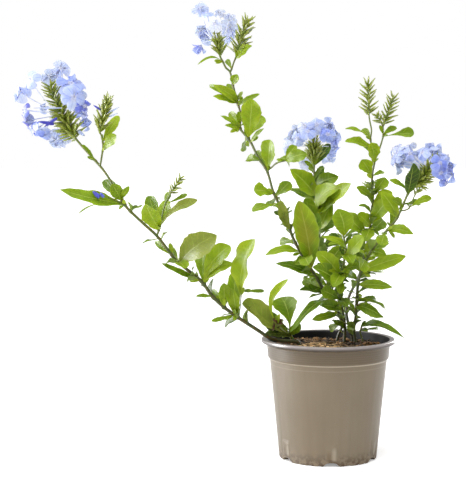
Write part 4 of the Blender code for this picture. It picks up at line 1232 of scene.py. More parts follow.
# %% [markdown]
# ## One whole branch
# A branch is made in pieces by finish: stems, leaves, and on some branches closed spikes
# or slim closed flowers. They could be one mesh with several finishes, but apart each
# can be swapped. Young leaves fill the stem between the large ones, where the real
# plant has more than can be told apart.

# %% Grow one branch


def grow_fill(growth, run, count, start, end):
    """Add young leaves round one stem by the golden angle, between two shares of it."""
    share = draw.uniform(start, end, count)
    place = share * (len(run) - 1)
    base = at(place, np.arange(len(run)), run)
    way = unit(np.gradient(run, axis=0))[place.astype(int)]
    out = turned_by(square_to(way), way, np.radians(GOLDEN_ANGLE * np.arange(count)))
    aim = unit(out + way * draw.uniform(0.2, 1.3, (count, 1)) + [0.0, 0.0, 0.15])
    reach = draw.uniform(0.010, 0.023, count)
    up = way + draw.normal(0.0, 0.25, (count, 3))
    grow_blades(growth, draw.uniform(0.10, 0.66, count), base, base + aim * reach[:, None], up,
                reach * draw.uniform(0.16, 0.24, count), draw.uniform(0.0, 0.14, count), 0.0,
                leaf_outline, rows=14, around=10, fold=0.4, wave=0.0007, thick=0.0005,
                curl=draw.normal(-0.08, 0.06, count), twist=draw.normal(0.0, 0.4, count))


def grow_branch(name, stems, leaves, foot, spikes=(), young=0.0, fill=None, closed=()):
    """Make a branch's pieces in place of its node: stems, leaves, spikes, closed flowers.

    A spike is its marks, its number of calyces, their size and their widest lean. Fill
    is a number of young leaves and the two shares of the stem that they lie between.
    """
    runs = branch_runs(stems, foot)
    table = np.array([(*leaf, *LEAF_REST[len(leaf) - 9:]) for leaf in leaves], float)
    base = leaf_feet(table, runs)
    wood = Growth()
    for number, (run, far, thick, thin) in enumerate(runs):
        near = np.linalg.norm(run[:, None] - base[None], axis=-1).min(axis=0) < 1e-6
        spots = np.linalg.norm(run[:, None] - base[None, near], axis=-1).argmin(axis=0)
        old = 1.0 if number == 0 and foot else 0.35
        grow_stem(wood, run, far, thick, thin, far[spots], old, young)
    wood.piece(name + "_stems", green_stem, [name], "leaf_green")
    foliage = Growth()
    grow_leaves(foliage, table, base)
    if fill:
        grow_fill(foliage, runs[0][0], *fill)
    foliage.piece(name + "_leaves", green_leaf, [name], "leaf_green", 80.0)
    if spikes:
        buds = Growth()
        for marks, count, size, wide in spikes:
            spike_calyces(buds, smooth_run(spot(marks)), count, 0.02, 0.98, wide, wide - 22.0,
                          1.22 * size, 0.98 * size)
        buds.piece(name + "_spikes", green_calyx, [name], "bud_green")
    if closed:
        petals = Growth()
        grow_closed(petals, closed)
        petals.piece(name + "_closed", blue_petal, [name], "petal_blue", 80.0)


print("each stem stands", round(1000 * ROOT_DEPTH), "mm deep in the bark")

# %% [markdown]
# ## Laying out a flower head
# A head is the top of a spike. Its lower calyces hold open flowers, and its tip is a
# cone of closed ones. An open flower is a row: its limb's column and row, 1 behind the
# spike or -1 in front, the share of the stalk where its tube starts, its size, how far
# its lobes bend back, and its tone. The tube's length then gives the limb's depth.

# %% Grow one head


def grow_head(name, axis, cone, flowers, calyces, below, spread, closed=(), hanging=(),
              outward=0.7):
    """Make a head's pieces: the petals, the anthers, and the green cone with its stalk.

    Spread is the widest and the narrowest lean of the calyces, then their size at the
    foot and at the tip. Outward turns limbs to the front or to the back. A hanging
    flower gives the marks of its elbow and its limb, then its size, bend and tone.
    """
    stalk, far = even_run(smooth_run(spot(axis)), 0.0008)
    table = np.array(flowers, float)
    col, row, side, share, size, bend, tone = table.T
    place = share * far[-1]
    root = at(place, far, stalk)
    flat = spot(np.stack([col, row, root[:, 1] * 1000.0], -1))
    across = np.linalg.norm(flat - root, axis=1)
    away = np.sqrt(np.maximum(TUBE_LENGTH ** 2 - across ** 2, LEAST_AWAY ** 2)) * side
    centre = spot(np.stack([col, row, (root[:, 1] + away) * 1000.0], -1))
    up = unit(stalk[-1] - stalk[0])
    out = centre - root
    out = unit(out - up * (out @ up)[:, None])
    elbow = root + unit(out + up * 0.3) * ELBOW_REACH
    petals = Growth()
    anthers = Growth()
    grow_flowers(petals, anthers, root, elbow, centre, size, bend, tone, outward)
    if hanging:
        table = np.array(hanging, float)
        grow_flowers(petals, anthers, root[:len(table)], spot(table[:, :3]), spot(table[:, 3:6]),
                     *table[:, 6:].T, outward=0.0)
    if closed:
        grow_closed(petals, closed)
    petals.piece(name + "_petals", blue_petal, [name + "_flowers"], "petal_blue", 80.0)
    anthers.piece(name + "_anthers", violet_anther, [name + "_flowers"], "petal_blue")
    green = Growth()
    whole = np.vstack([spot(below), stalk, smooth_run(spot(cone))])
    run, distance = even_run(whole, 0.0012)
    rows = np.concatenate([[0.0], distance / distance[-1], [1.0]])[None, :, None]
    green.add(stem_surface(run, distance, 0.0011, 0.0006)[None], 0.3, 0.0, 0.4 + rows * 0.2)
    way = unit(elbow - root)
    grow_calyces(green, root, way, np.full(len(root), CALYX_LENGTH),
                 np.full(len(root), CALYX_RADIUS * 1.1))
    spike_calyces(green, run, calyces, 0.0, 0.97, *spread)
    spike_calyces(green, run, calyces // 2, 0.06, 0.45, spread[0] + 16.0, spread[0] - 6.0,
                  spread[2] * 1.2, spread[2])
    green.piece(name + "_calyces", green_calyx, [name + "_buds"], "bud_green")


print(f"a tube {1000 * TUBE_LENGTH:.0f} mm long sets how deep a limb stands")

# %% [markdown]
# ## The left branch
# A long branch leans over the rim and reaches far to the left. It ends in a fork: one
# tip carries the left head, the other a closed spike. Its stem has many marks, because
# every small kink at a node shows against the light.

# %% Left branch
LEFT_STEMS = [
    ([(294, 341.5, -7), (285, 341, -10), (275, 339.5, -14), (267, 336.5, -19),
      (259, 331, -23), (231, 312.5, -31), (213, 297, -36), (201, 281, -40),
      (178, 262, -46), (168, 250, -48), (157, 236, -51), (145, 225, -53),
      (130, 211, -54), (125, 205, -54), (120, 197, -53), (110, 180, -50),
      (100, 166, -45), (76, 139, -36), (66, 122, -32)], 2.2, 1.2),
    ([(157, 236, -51), (158.5, 231, -54), (161, 222, -58), (165, 205, -62),
      (171, 193, -65), (181, 178, -68)], 1.1, 0.7),
    ([(100, 166, -45), (101.5, 158, -49), (103, 147, -54), (102, 137, -58),
      (99.5, 130, -60), (103, 116, -63), (108, 99, -67)], 1.1, 0.7),
    ([(125, 205, -54), (114, 200, -63), (103, 196, -70)], 0.9, 0.7),
    ([(239, 317.5, -29), (240.5, 304, -33), (241.5, 291, -36)], 0.65, 0.5),
]
LEFT_LEAVES = [
    (124, 205, 59, 190.5, -18, 13, 0.05, 15, 1.0, 0.5, 1.1, -0.06),
    (122, 202, 104, 180, 23, 10, 0.08, 0, 0.6, 0.35),
    (122, 201, 112, 184, -14, 11, 0.05, -20, 0.6),
    (124, 205, 78, 204, 32, 5, 0.04, 60, 0.3),
    (121, 199, 129, 186, -14, 5, 0.15, 30, 0.3),
    (158, 229, 149, 196, 18, 11, 0.05, 0, 0.6, 0.4),
    (158, 229, 146, 205, -18, 16, 0.06, -15, 1.0, 0.62),
    (160, 227, 168, 200, 9, 13, 0.05, 10, 0.8, 0.6),
    (160, 226, 196, 200, -14, 8, 0.10, 10, 0.8, -0.2, 0.0, -0.08),
    (166, 203, 187, 194, 14, 4, 0.2, 30, 0.3),
    (103, 150, 116, 135, -12, 10, 0.05, 0, 0.6, 0.6),
    (103, 143, 119, 115, 14, 9, 0.06, 10, 0.6, 0.7),
    (97, 160, 82, 145, -12, 4, 0.05, 0, 0.2),
    (172, 255, 155, 241, 14, 6, 0.05, 0, 0.3),
    (201, 281, 162, 263, -14, 6, -0.04, 0, 0.3),
    (180, 263, 217, 235, -23, 22, 0.08, 10, 0.8, -0.2, 1.8, -0.06),
    (203, 284, 206, 247, 14, 14, 0.06, 0, 0.8, 0.5, 0.0, -0.06),
    (203, 284, 230, 246, -14, 18, 0.07, 10, 1.0, 0.6, 3.2, -0.10),
    (203, 284, 231, 263, -20, 11, 0.07, 0, 0.9, 0.62, 0.0, -0.10),
    (224, 307, 212, 289, 9, 6, 0.05, 0, 0.3),
    (214, 298, 221, 303, 30, 13, 0.06, 0, 0.6),
    (178, 262, 185, 269, -27, 12, 0.08, 0, 0.5),
    (130, 211, 136, 205, 30, 12, 0.06, 0, 0.5),
    (224, 306, 224, 283, -9, 10, 0.05, 0, 0.5),
    (241, 296, 254, 240, -18, 19, 0.05, -10, 2.2, 0.66, 2.5, -0.07),
    (236, 316, 225, 285, -12, 10, 0.05, 0, 0.6, 0.5, 0.0, 0.05),
    (237, 317, 233, 290, -14, 9, 0.05, 0, 0.8),
    (238, 317, 239, 266, 28, 13, 0.05, 0, 1.0, 0.5, 0.0, -0.08),
    (241, 292, 265, 291, 8, 3.4, 0.2, 20, 0.3, 0.4),
    (213, 297, 197, 295.5, -9, 4, 0.05, 0, 0.2),
    (235, 316, 212, 320, -14, 4, -0.05, 0, 0.2),
]
LEFT_SPIKES = [
    ([(99.5, 134, -60), (103, 116, -63), (107, 102, -67)], 44, 1.05, 46.0),
    ([(170, 195, -64.5), (181, 178, -68)], 18, 0.62, 62.0),
]
LEFT_CLOSED = [
    (99.5, 197.5, -70, 92.5, 191, 2.2, 0.97), (104, 197.5, -69, 100, 192.5, 1.6, 0.9),
    (101, 110, -64, 93, 105, 1.1, 1.0), (108, 113, -64, 119.5, 107, 0.9, 0.3),
    (109, 117, -65, 118, 113, 0.8, 0.35),
]
grow_branch("left_branch", LEFT_STEMS, LEFT_LEAVES, (-0.0330, -0.0060), LEFT_SPIKES,
            young=0.25, fill=(16, 0.2, 0.62), closed=LEFT_CLOSED)

# %% [markdown]
# ## The left head
# A full head, seen from its side. Its limbs stand in a ring round a dark cone, and the
# older ones, low on both sides, are deeper blue. Slim closed flowers stand among them.

# %% Left head
LEFT_FLOWERS = [
    (71, 83, -1, 0.55, 1.15, 0.15, 0.55), (74, 97, -1, 0.60, 1.0, 0.25, 0.45),
    (64, 90, 1, 0.60, 1.0, 0.20, 0.4), (79, 87, 1, 0.60, 1.1, 0.35, 0.55),
    (61, 68, 1, 0.70, 0.8, 0.3, 0.35), (49, 76, 1, 0.70, 0.7, 0.3, 0.3),
    (30, 79, -1, 0.65, 0.9, 0.3, 0.4), (20, 92, 1, 0.60, 0.9, 0.35, 0.45),
    (23, 110, -1, 0.50, 0.65, 0.6, 0.9), (25, 121, 1, 0.35, 0.7, 0.6, 1.0),
    (34, 131, -1, 0.30, 0.8, 0.5, 0.75), (41, 136, 1, 0.30, 0.8, 0.5, 0.55),
    (43, 108, 1, 0.60, 0.55, 0.9, 0.45), (56, 140, 1, 0.20, 0.85, 0.5, 0.3),
    (65, 144, 1, 0.25, 0.75, 0.4, 0.2), (85, 106, -1, 0.45, 0.8, 0.6, 0.82),
    (83, 114, 1, 0.45, 0.8, 0.5, 0.8), (88, 126, 1, 0.25, 0.65, 0.6, 0.6),
]
LEFT_HEAD_CLOSED = [
    (54, 124, -40, 38, 121.5, 1.8, 0.97), (57, 118, -42, 44, 127, 1.5, 1.0),
    (78, 131, -34, 85, 136, 1.7, 0.3), (62, 108, -38, 33, 108, 0.8, 0.3),
]
grow_head("left", [(65.8, 121.6, -32), (60, 110, -32), (55.6, 101.3, -32)],
          [(55.4, 100.9, -32), (50, 85, -32)], LEFT_FLOWERS, 76, [(76, 139, -36)],
          (64.0, 52.0, 1.3, 1.1), LEFT_HEAD_CLOSED)

# %% [markdown]
# ## The short shoot inside the left rim
# Two broad leaves and three narrow ones grow beside a dried stub with three curled brown
# leaves. Two low leaves reach towards the rim and hide the foot of the shoot.

# %% Basal shoot
BASAL_STEMS = [
    ([(291, 337, 13), (290.5, 333, 11), (289, 329, 9)], 1.6, 1.0),
    ([(290, 335, 12), (283, 331, -10), (277.5, 325, -22)], 1.0, 0.9),
]
BASAL_LEAVES = [
    (285, 337, 244, 303, -32, 22, 0.07, 10, 1.2, -0.2, 3.2, -0.08),
    (286, 336, 266, 310, -18, 8, 0.08, 0, 0.6, 0.35),
    (277, 324, 288, 279, -18, 6.5, 0.05, 0, 0.5, 0.72, 0.0, -0.22),
    (290, 331, 282, 297, 4, 22, 0.06, 0, 0.6, 0.42, 4.0, 0.06),
    (291, 334, 299, 323, -9, 9, 0.1, 20, 0.3, 0.4),
    # these two low leaves have a tone near 0: painted shade, as they stand in shadow by the rim
    (291, 337, 262, 321, -26, 12, 0.08, 10, 0.8, 0.0),
    (291, 337, 269, 333, -30, 10, 0.10, 10, 0.8, -0.02),
    (277, 325, 274, 318, -8, 6, 0.1, 20, 1.8, 1.3, 0.0, 0.1),
    (280, 328, 271, 329, -8, 6, 0.1, 60, 2.4, 1.3),
    (279, 327, 283, 320, -8, 6, 0.1, -50, 2.4, 1.25),
]
grow_branch("basal_left_shoot", BASAL_STEMS, BASAL_LEAVES, (-0.0400, 0.0140))

# %% [markdown]
# ## The middle branch
# The tallest branch leans to the left as it climbs. It carries the top head, a closed
# spike beside it, and the largest leaf of the plant, an aged one with a brown flush.

# %% Middle branch
MIDDLE_STEMS = [
    ([(345, 328, 20), (341, 318, 15), (333, 305, 8), (325, 292, 2), (318, 280, -3),
      (310, 268, -7), (301, 253, -10), (294, 240, -11), (288, 225, -11), (281, 208, -9),
      (275, 196, -6), (272, 188, -4), (267, 171, 1), (258, 157, 6), (250, 141, 12),
      (240, 128, 18), (241, 116, 22), (236, 97, 28), (233, 85, 32), (230, 72, 36),
      (226, 68, 36), (223, 62, 36), (220, 56, 36), (219, 47, 36)], 2.0, 1.1),
    ([(230, 73, 36), (232, 68, 39), (234, 62, 43), (237, 54, 47), (248, 19, 56)], 1.0, 0.7),
    ([(267, 171, 1), (271, 168, -5), (277, 163, -11), (288, 160, -18)], 1.0, 0.7),
]
MIDDLE_LEAVES = [
    (237, 59, 252, 46, -9, 13, 0.06, 0, 0.6, 0.6),
    (231, 70, 226, 59, 12, 5, 0.1, 0, 0.2),
    (223, 62, 198, 62, -12, 2.6, 0.2, 30, 0.2, 0.6),
    (233, 86, 236, 75, -12, 8, 0.08, 0, 0.3, 0.6),
    (237, 103, 217, 84, -16, 9, 0.08, 0, 0.9, 0.65, 1.4),
    (237, 101, 210, 86, -9, 5, 0.10, 0, 0.5, 0.6, 1.3),
    (237, 103, 213, 96, -14, 7, 0.06, 0, 0.6, 0.7, 1.3),
    (236, 98, 227, 83, 9, 6, 0.05, 0, 0.4, 0.55),
    (240, 128, 222, 115, -9, 6, 0.05, 0, 0.4, 0.55, 1.4),
    (240, 128, 225, 125, -12, 5, 0.05, 0, 0.3, 0.6, 1.3),
    (237, 100, 209, 84, 16, 4, 0.1, 0, 0.2),
    (239, 106, 259, 94, -12, 5, 0.2, 20, 0.3),
    (240, 126, 230, 113, 12, 7, 0.08, 0, 0.4, 0.6),
    (240, 125, 238, 112, -12, 6, 0.05, 0, 0.3, 0.6),
    (249, 139, 252, 99, -21, 18, 0.08, 10, 1.4, 0.64, 2.8),
    (248, 138, 263, 116, 5, 13, 0.08, -20, 0.8, 0.6),
    (251, 142, 264, 128.5, -12, 4, 0.08, 0, 0.2),
    (261, 161, 245.5, 159, 12, 9, 0.06, 0, 0.4),
    (268, 172, 270, 141, -14, 15, 0.07, 0, 1.0, 0.55, 3.4),
    (266, 169, 256, 150, 18, 7, 0.06, 0, 0.4),
    (277, 164, 288, 157, -9, 5, 0.1, 0, 0.2),
    (284, 161, 306, 153, -18, 11, 0.08, 10, 0.7, 0.5, 2.6),
    (286, 161, 296, 146, 14, 8, 0.08, -10, 0.5),
    (274, 194, 254, 190, -9, 13, 0.07, 0, 0.7, 0.55, 3.6),
    (276, 198, 289, 182, -14, 11, 0.06, 0, 0.6, 0.45, 3.4),
    (280, 206, 253, 210, -14, 10, 0.1, 10, 0.5, 0.5, 3.8),
    (291, 230, 280, 200, -9, 9, 0.05, 0, 0.6, -0.2, 0.0, -0.06),
    (311, 269, 300, 204.5, -28, 21, 0.06, -5, 1.4, 0.93, 2.3, 0.02),
    (305, 258, 318, 213, -8, 13, 0.06, 0, 0.8, 0.3),
    (301, 253, 265, 255, -18, 9, 0.15, 20, 0.6, 0.6, 1.3),
    (295, 243, 279, 241, 14, 7, 0.08, 0, 0.4),
    (317, 278, 279, 260.5, -14, 10, 0.08, 15, 0.6, 0.4, 1.3),
    (305, 260, 295, 263, -12, 8, 0.1, 20, 0.3),
    (303, 256, 309, 266, -30, 13, 0.08, 0, 0.6),
    (276, 197, 271, 206, 28, 11, 0.06, 0, 0.5),
    (249, 139, 243, 147, 27, 12, 0.06, 0, 0.5),
    (324, 291, 303, 282, 14, 10, 0.05, 0, 0.3),
    (327, 295, 300, 289.5, -14, 11, 0.05, 20, 0.5, 0.25, 1.5),
    (331, 301, 290, 333, -58, 7, 0.22, 10, 1.4, 0.3, 2.0),
    (339, 314, 313, 319, -23, 7, 0.06, 0, 0.4),
]
MIDDLE_SPIKES = [([(236, 56, 47), (247.5, 22, 56)], 50, 1.12, 58.0)]
MIDDLE_CLOSED = [
    (246, 33, 52, 253.5, 27, 0.8, 0.9), (244, 42, 50, 251, 37, 0.8, 0.8),
]
grow_branch("middle_branch", MIDDLE_STEMS, MIDDLE_LEAVES, (0.0200, 0.0240), MIDDLE_SPIKES,
            young=0.3, fill=(30, 0.10, 0.5), closed=MIDDLE_CLOSED)

# %% [markdown]
# ## The top head
# A small, pale and open head. One flower hangs under it, its lobes folded forward like
# a bell. The rule for the others would not bend its tube down, so its elbow and its limb
# have marks of their own.

# %% Top head
TOP_FLOWERS = [
    (200, 8, 1, 0.65, 0.7, 0.3, 0.35), (207, 12, -1, 0.65, 0.65, 0.4, 0.5),
    (202, 29, 1, 0.60, 0.75, 0.5, 0.3), (207, 37, 1, 0.50, 0.75, 0.5, 0.45),
    (214, 24, -1, 0.55, 0.7, 0.3, 0.2), (219, 12, 1, 0.65, 0.5, 0.3, 0.15),
    (230, 15, 1, 0.65, 0.55, 0.4, 0.15), (229, 25, 1, 0.55, 0.85, 0.3, 0.3),
    (230, 38, 1, 0.40, 0.75, 0.4, 0.4),
]
TOP_HANGING = [(203, 40, 32, 201, 45.5, 32, 0.74, -1.25, 0.78)]
grow_head("top", [(218.9, 46.5, 36), (217, 38, 36)], [(216.9, 37.5, 36), (216, 28, 36)],
          TOP_FLOWERS, 46, [(220.5, 57, 36), (219.6, 50, 36)], (44.0, 26.0, 0.95, 0.75),
          hanging=TOP_HANGING)

# %% [markdown]
# ## The stem of the middle head
# It stands at the back of the bush, straight up, and is thick with leaves. The large
# ones are set one by one, because they give the bush its outline, and the small ones
# fill the stem by the golden angle.

# %% Head stem
HEAD_STEMS = [
    ([(342, 325, 33), (337, 310, 35), (332, 296, 37), (328, 282, 39), (324, 265, 42),
      (321, 250, 45), (319, 232, 48), (317, 215, 52), (316, 200, 56), (314.5, 180, 61),
      (314, 167, 64), (314, 153, 66)], 1.8, 1.1),
]
HEAD_LEAVES = [
    (315, 196, 291, 169, -18, 18, 0.06, 0, 1.0, 0.6, 1.2),
    (316, 200, 288, 189, 5, 10, 0.05, 0, 0.5, 0.4),
    (315, 186, 305, 176, 14, 7, 0.06, 0, 0.3),
    (315, 186, 338, 176, -12, 13, 0.08, 0, 0.7, 0.42),
    (315, 184, 323, 166, 9, 8, 0.05, 0, 0.3, 0.3),
    (316, 212, 336, 188, -32, 18, 0.06, -10, 1.0, 0.64, 2.0, -0.15),
    (317, 215, 353, 184, -37, 14, 0.05, -10, 0.9, 0.68, 1.9),
    (317, 216, 336, 203, -30, 13, 0.05, 0, 0.9),
    (318, 222, 306, 200, -20, 12, 0.05, 0, 0.6, 0.45),
    (318, 225, 309, 205, -23, 10, 0.05, 0, 0.5),
    (319, 235, 335, 215, 18, 14, 0.05, 0, 0.8, 0.4),
    (320, 245, 307, 222, 23, 13, 0.05, 0, 0.7, 0.35),
    (321, 250, 340, 238, 23, 15, 0.06, 0, 0.8, 0.35),
    (324, 265, 316, 240, 18, 14, 0.05, 0, 0.7, 0.35),
    (326, 272, 345, 262, 18, 12, 0.06, 0, 0.6, 0.3),
    (328, 282, 318, 262, 14, 10, 0.05, 0, 0.5, 0.3),
    (332, 296, 345, 285, 23, 9, 0.05, 0, 0.4, 0.3),
    (337, 310, 352, 300, 28, 9, 0.05, 0, 0.4, 0.3),
    (324, 265, 331, 258, 34, 14, 0.06, 0, 0.7, 0.35),
    (319, 232, 311, 225, 35, 14, 0.06, 0, 0.7, 0.35),
    (316, 200, 322, 191, 32, 13, 0.06, 0, 0.6),
    (330, 288, 338, 283, 30, 13, 0.06, 0, 0.6, 0.3),
    (317, 212, 304, 207, -9, 9, 0.06, 0, 0.4),
    (319, 230, 331, 204, -14, 14, 0.05, 0, 0.8, 0.6),
    (325, 268, 342, 246, -14, 13, 0.06, 0, 0.7),
    (330, 288, 309, 276, -9, 10, 0.06, 0, 0.5),
    (335, 304, 318, 300, 9, 11, 0.05, 0, 0.5, 0.35),
    (341, 323, 329, 330, 9, 7, 0.15, 0, 0.3),
    (315, 165, 331, 142, 16, 9, 0.05, 10, 0.6, 0.16),
    (314, 172, 304, 161, -14, 5, 0.1, 0, 0.2),
]
grow_branch("middle_head_stem", HEAD_STEMS, HEAD_LEAVES, (0.0130, 0.0350),
            young=0.2, fill=(34, 0.16, 0.86))

# %% [markdown]
# ## The middle head
# A dense dome of flowers round its cone. Six limbs stand in front of the spike and eight
# behind it, and their lobes overlap like tiles.

# %% Middle head
HEAD_FLOWERS = [
    (286, 147, -1, 0.45, 0.7, 0.5, 0.35), (290, 138, 1, 0.45, 0.7, 0.4, 0.25),
    (294, 131, 1, 0.60, 0.75, 0.4, 0.2), (304, 125, -1, 0.65, 0.75, 0.4, 0.25),
    (297, 138, -1, 0.60, 0.7, 0.45, 0.5), (308, 131, -1, 0.60, 0.75, 0.3, 0.5),
    (317, 124, -1, 0.65, 0.8, 0.4, 0.4), (328, 134, -1, 0.65, 0.75, 0.5, 0.65),
    (328, 124, 1, 0.65, 0.65, 0.4, 0.4), (334, 136, 1, 0.50, 0.75, 0.4, 0.65),
    (336, 148, 1, 0.40, 0.8, 0.5, 0.7), (329, 160, 1, 0.25, 0.65, 0.5, 0.35),
    (304, 164, 1, 0.25, 0.7, 0.4, 0.15), (328, 127, 1, 0.6, 0.8, 0.5, 0.35),
]
grow_head("middle", [(314, 152.5, 66), (313.5, 141, 66)], [(313.5, 140.5, 66), (313, 131, 66)],
          HEAD_FLOWERS, 76, [(314, 166, 64), (314, 158, 65.4)], (40.0, 26.0, 1.2, 0.95))

# %% [markdown]
# ## The centre of the bush
# A leafy shoot fills the middle, nearest the front. It hides the stems behind it, so
# its leaves are broad and set close. Its depths fall below 0, in front of the pot's axis.

# %% Centre shoot
CENTRE_STEMS = [
    ([(345, 325, 7), (343, 312, 1), (340, 300, -6), (339, 288, -12), (341, 275, -18),
      (344, 262, -23), (346, 250, -27), (344, 238, -31), (341, 226, -34), (340, 219, -35)],
     1.6, 0.9),
]
CENTRE_LEAVES = [
    (342, 238, 338, 209, -14, 18, 0.06, 0, 1.0, 0.52, 2.6, 0.06),
    (346, 250, 325, 236, -23, 6, 0.16, 0, 0.6, 0.6),
    (340, 278, 322, 252, -18, 14, 0.06, 10, 0.8, 0.6),
    (339, 284, 316, 267, -28, 16, 0.08, 0, 1.0, 0.36, 1.8),
    (346, 260, 364, 237, -23, 14, 0.08, 0, 0.8, 0.64),
    (343, 270, 358, 266, -14, 9, 0.1, 0, 0.4),
    (340, 300, 322, 290, -18, 12, 0.07, 0, 0.6, 0.4),
    (342, 309, 322, 305, -18, 11, 0.08, 0, 0.5, 0.4),
    (341, 275, 335, 283, -30, 12, 0.08, 0, 0.6),
    (345, 256, 352, 262, -30, 13, 0.08, 0, 0.6),
    (340, 300, 347, 307, -27, 11, 0.1, 0, 0.5, 0.4),
    (341, 279, 339, 294, -18, 8, 0.1, 0, 0.4),
]
grow_branch("centre_shoot", CENTRE_STEMS, CENTRE_LEAVES, (0.0190, 0.0100),
            young=0.1, fill=(34, 0.2, 0.95))

# %% [markdown]
# ## The tall bud stem
# An upright stem with two tall closed spikes and a small bristly cluster. A spike is
# only two marks and three numbers, since the golden angle does the rest.

# %% Tall bud stem
TALL_STEMS = [
    ([(349, 326, 22), (346.5, 313, 23), (348, 300, 24), (352, 290, 25), (357, 281, 26),
      (361, 270, 27), (367, 245, 28), (370, 230, 29), (371, 215, 29), (373, 200, 29),
      (372, 180, 28), (375, 158, 27), (373.5, 150, 25), (370.5, 140, 23),
      (371.5, 130, 22), (369, 115, 21), (368, 84, 19)], 1.9, 0.7),
    ([(375, 159, 27), (378, 153, 30), (383, 137, 35), (383.5, 125, 37), (393, 98, 40)],
     1.0, 0.7),
    ([(383.5, 129, 36), (381, 122, 33), (377, 116, 31)], 0.8, 0.6),
]
TALL_LEAVES = [
    (371, 140, 346, 128, -9, 6, 0.15, 20, 0.4, 0.6),
    (371, 139, 363, 128, 9, 6, 0.05, 0, 0.2),
    (373, 150, 345, 141.5, -14, 10, 0.1, 10, 0.6, 0.6),
    (374, 156, 361.5, 141, 14, 5, 0.05, 0, 0.2),
    (374, 162, 372, 144, -14, 12, 0.06, 0, 0.8, 0.65, 3.0),
    (372, 178, 363, 160, -14, 13, 0.06, 0, 0.8, 0.6, 3.8),
    (372, 176, 385, 171.5, 7, 5, 0.12, 0, 0.3),
    (373, 197, 384, 178, -12, 12, 0.06, 0, 0.8, 0.55, 3.8),
    (373, 200, 358, 187, -12, 8, 0.06, 0, 0.5),
    (371, 222, 388, 200, -18, 14, 0.05, 0, 0.8, 0.6),
    (371, 226, 357, 214, -14, 13, 0.08, 0, 0.8, 0.6),
    (368, 240, 345, 214, -12, 15, 0.10, 0, 0.9, 0.55),
    (373, 207, 391, 192, -12, 13, 0.06, 0, 0.8, 0.7),
    (383, 136, 414, 133, -9, 10, 0.06, 0, 0.4, 0.45, 4.4),
    (383, 134, 397, 127, 12, 6, 0.1, 0, 0.3),
    (363, 262, 352, 240, 18, 12, 0.06, 0, 0.6, 0.4),
    (368, 243, 375, 252, 33, 13, 0.08, 0, 0.6, 0.35),
    (372, 192, 366, 183, 30, 12, 0.06, 0, 0.5),
    (370, 230, 365, 240, -27, 12, 0.08, 0, 0.5),
    (364, 258, 379, 243, -14, 14, 0.06, 0, 0.7, 0.6),
    (369, 236, 384, 218, 16, 13, 0.05, 0, 0.7, 0.45),
    (366, 250, 352, 232, 28, 12, 0.06, 0, 0.6, 0.4),
    (360, 273, 347, 254, 14, 11, 0.05, 0, 0.5, 0.4),
    (357, 281, 343, 270, 23, 9, 0.05, 0, 0.4, 0.3),
    (359, 276, 375, 262, 23, 11, 0.05, 0, 0.6, 0.4),
]
TALL_SPIKES = [
    ([(369, 116, 21), (368, 84, 19)], 31, 1.0, 62.0),
    ([(384, 126, 37), (393, 98, 40)], 28, 0.95, 60.0),
    ([(381.5, 123, 33.4), (377, 116, 31)], 10, 0.7, 62.0),
]
grow_branch("tall_bud_stem", TALL_STEMS, TALL_LEAVES, (0.0290, 0.0210), TALL_SPIKES,
            young=0.1, fill=(34, 0.14, 0.7))

# %% [markdown]
# ## The right branch
# It sweeps out under the right head and carries a small twig with a few closed buds.
# Its curve runs through close marks, so that the bend near the head is not cut short.

# %% Right branch
RIGHT_STEMS = [
    ([(354, 328, 5), (356, 316, 1), (357, 300, -5), (358, 285, -10), (361, 272, -14),
      (366, 260, -18), (373, 249, -22), (379, 240, -25), (390, 227, -29), (396, 220, -31),
      (400, 212, -32), (406, 198, -34), (409, 192, -35), (413, 187, -36), (423, 177, -38)],
     1.9, 1.1),
    ([(400, 211, -32), (406, 210, -37), (410, 207, -40), (414, 197, -43), (419, 189, -45)],
     0.8, 0.6),
]
RIGHT_LEAVES = [
    (397, 216, 383, 192, -12, 13, 0.06, 0, 0.8, 0.6),
    (402, 208, 393, 200, -14, 9, 0.06, 0, 0.4),
    (409, 192, 391, 179.5, -9, 5, 0.12, 0, 0.3),
    # a tone of 0.1 paints shade on this leaf, which stands in shadow under the head
    (408, 194, 413, 167, -28, 13, 0.05, 0, 0.8, 0.1, 2.4),
    (410, 208, 431, 197.5, -9, 7, 0.12, 0, 0.4, 0.6),
    (388, 229, 413, 233, -14, 9, 0.15, 0, 0.6, 0.55, 1.3),
    (371, 252, 387, 256, -12, 8, 0.12, 0, 0.5),
    (362, 271, 405, 255.5, -18, 12, 0.05, 10, 1.1, 0.6, 1.5),
    (358, 284, 392, 286, -14, 9, 0.08, 0, 0.6, 0.5, 1.2),
    (357, 302, 378, 299, 18, 6, 0.1, 0, 0.4, 0.3),
    (356, 306, 384, 317, -18, 10, 0.15, 0, 0.7, 0.4, 1.3),
    (357, 298, 389, 311, 28, 3.5, 0.12, 0, 0.6, 0.4, 1.2),
    (390, 227, 396, 207, 14, 8, 0.05, 0, 0.4),
    (366, 260, 384, 238, 23, 12, 0.05, 0, 0.6, 0.4),
    (366, 260, 360, 268, -32, 13, 0.08, 0, 0.6),
    (384, 234, 381, 245, -28, 11, 0.08, 0, 0.5),
    (362, 270, 386, 270, 21, 9, 0.06, 0, 0.4),
    (403, 205, 420, 203, 12, 7, 0.08, 0, 0.3, 0.4, 3.4),
]
RIGHT_SPIKES = [([(415, 195, -43.5), (419, 189, -45)], 6, 0.6, 62.0)]
grow_branch("right_branch", RIGHT_STEMS, RIGHT_LEAVES, (0.0310, 0.0070), RIGHT_SPIKES,
            young=0.1, fill=(26, 0.14, 0.6))

# %% [markdown]
# ## The right head
# A broad, flat head that leans out to the right. Its limbs are turned less to the front
# and back than in the other heads, so that more of them are seen from their sides.

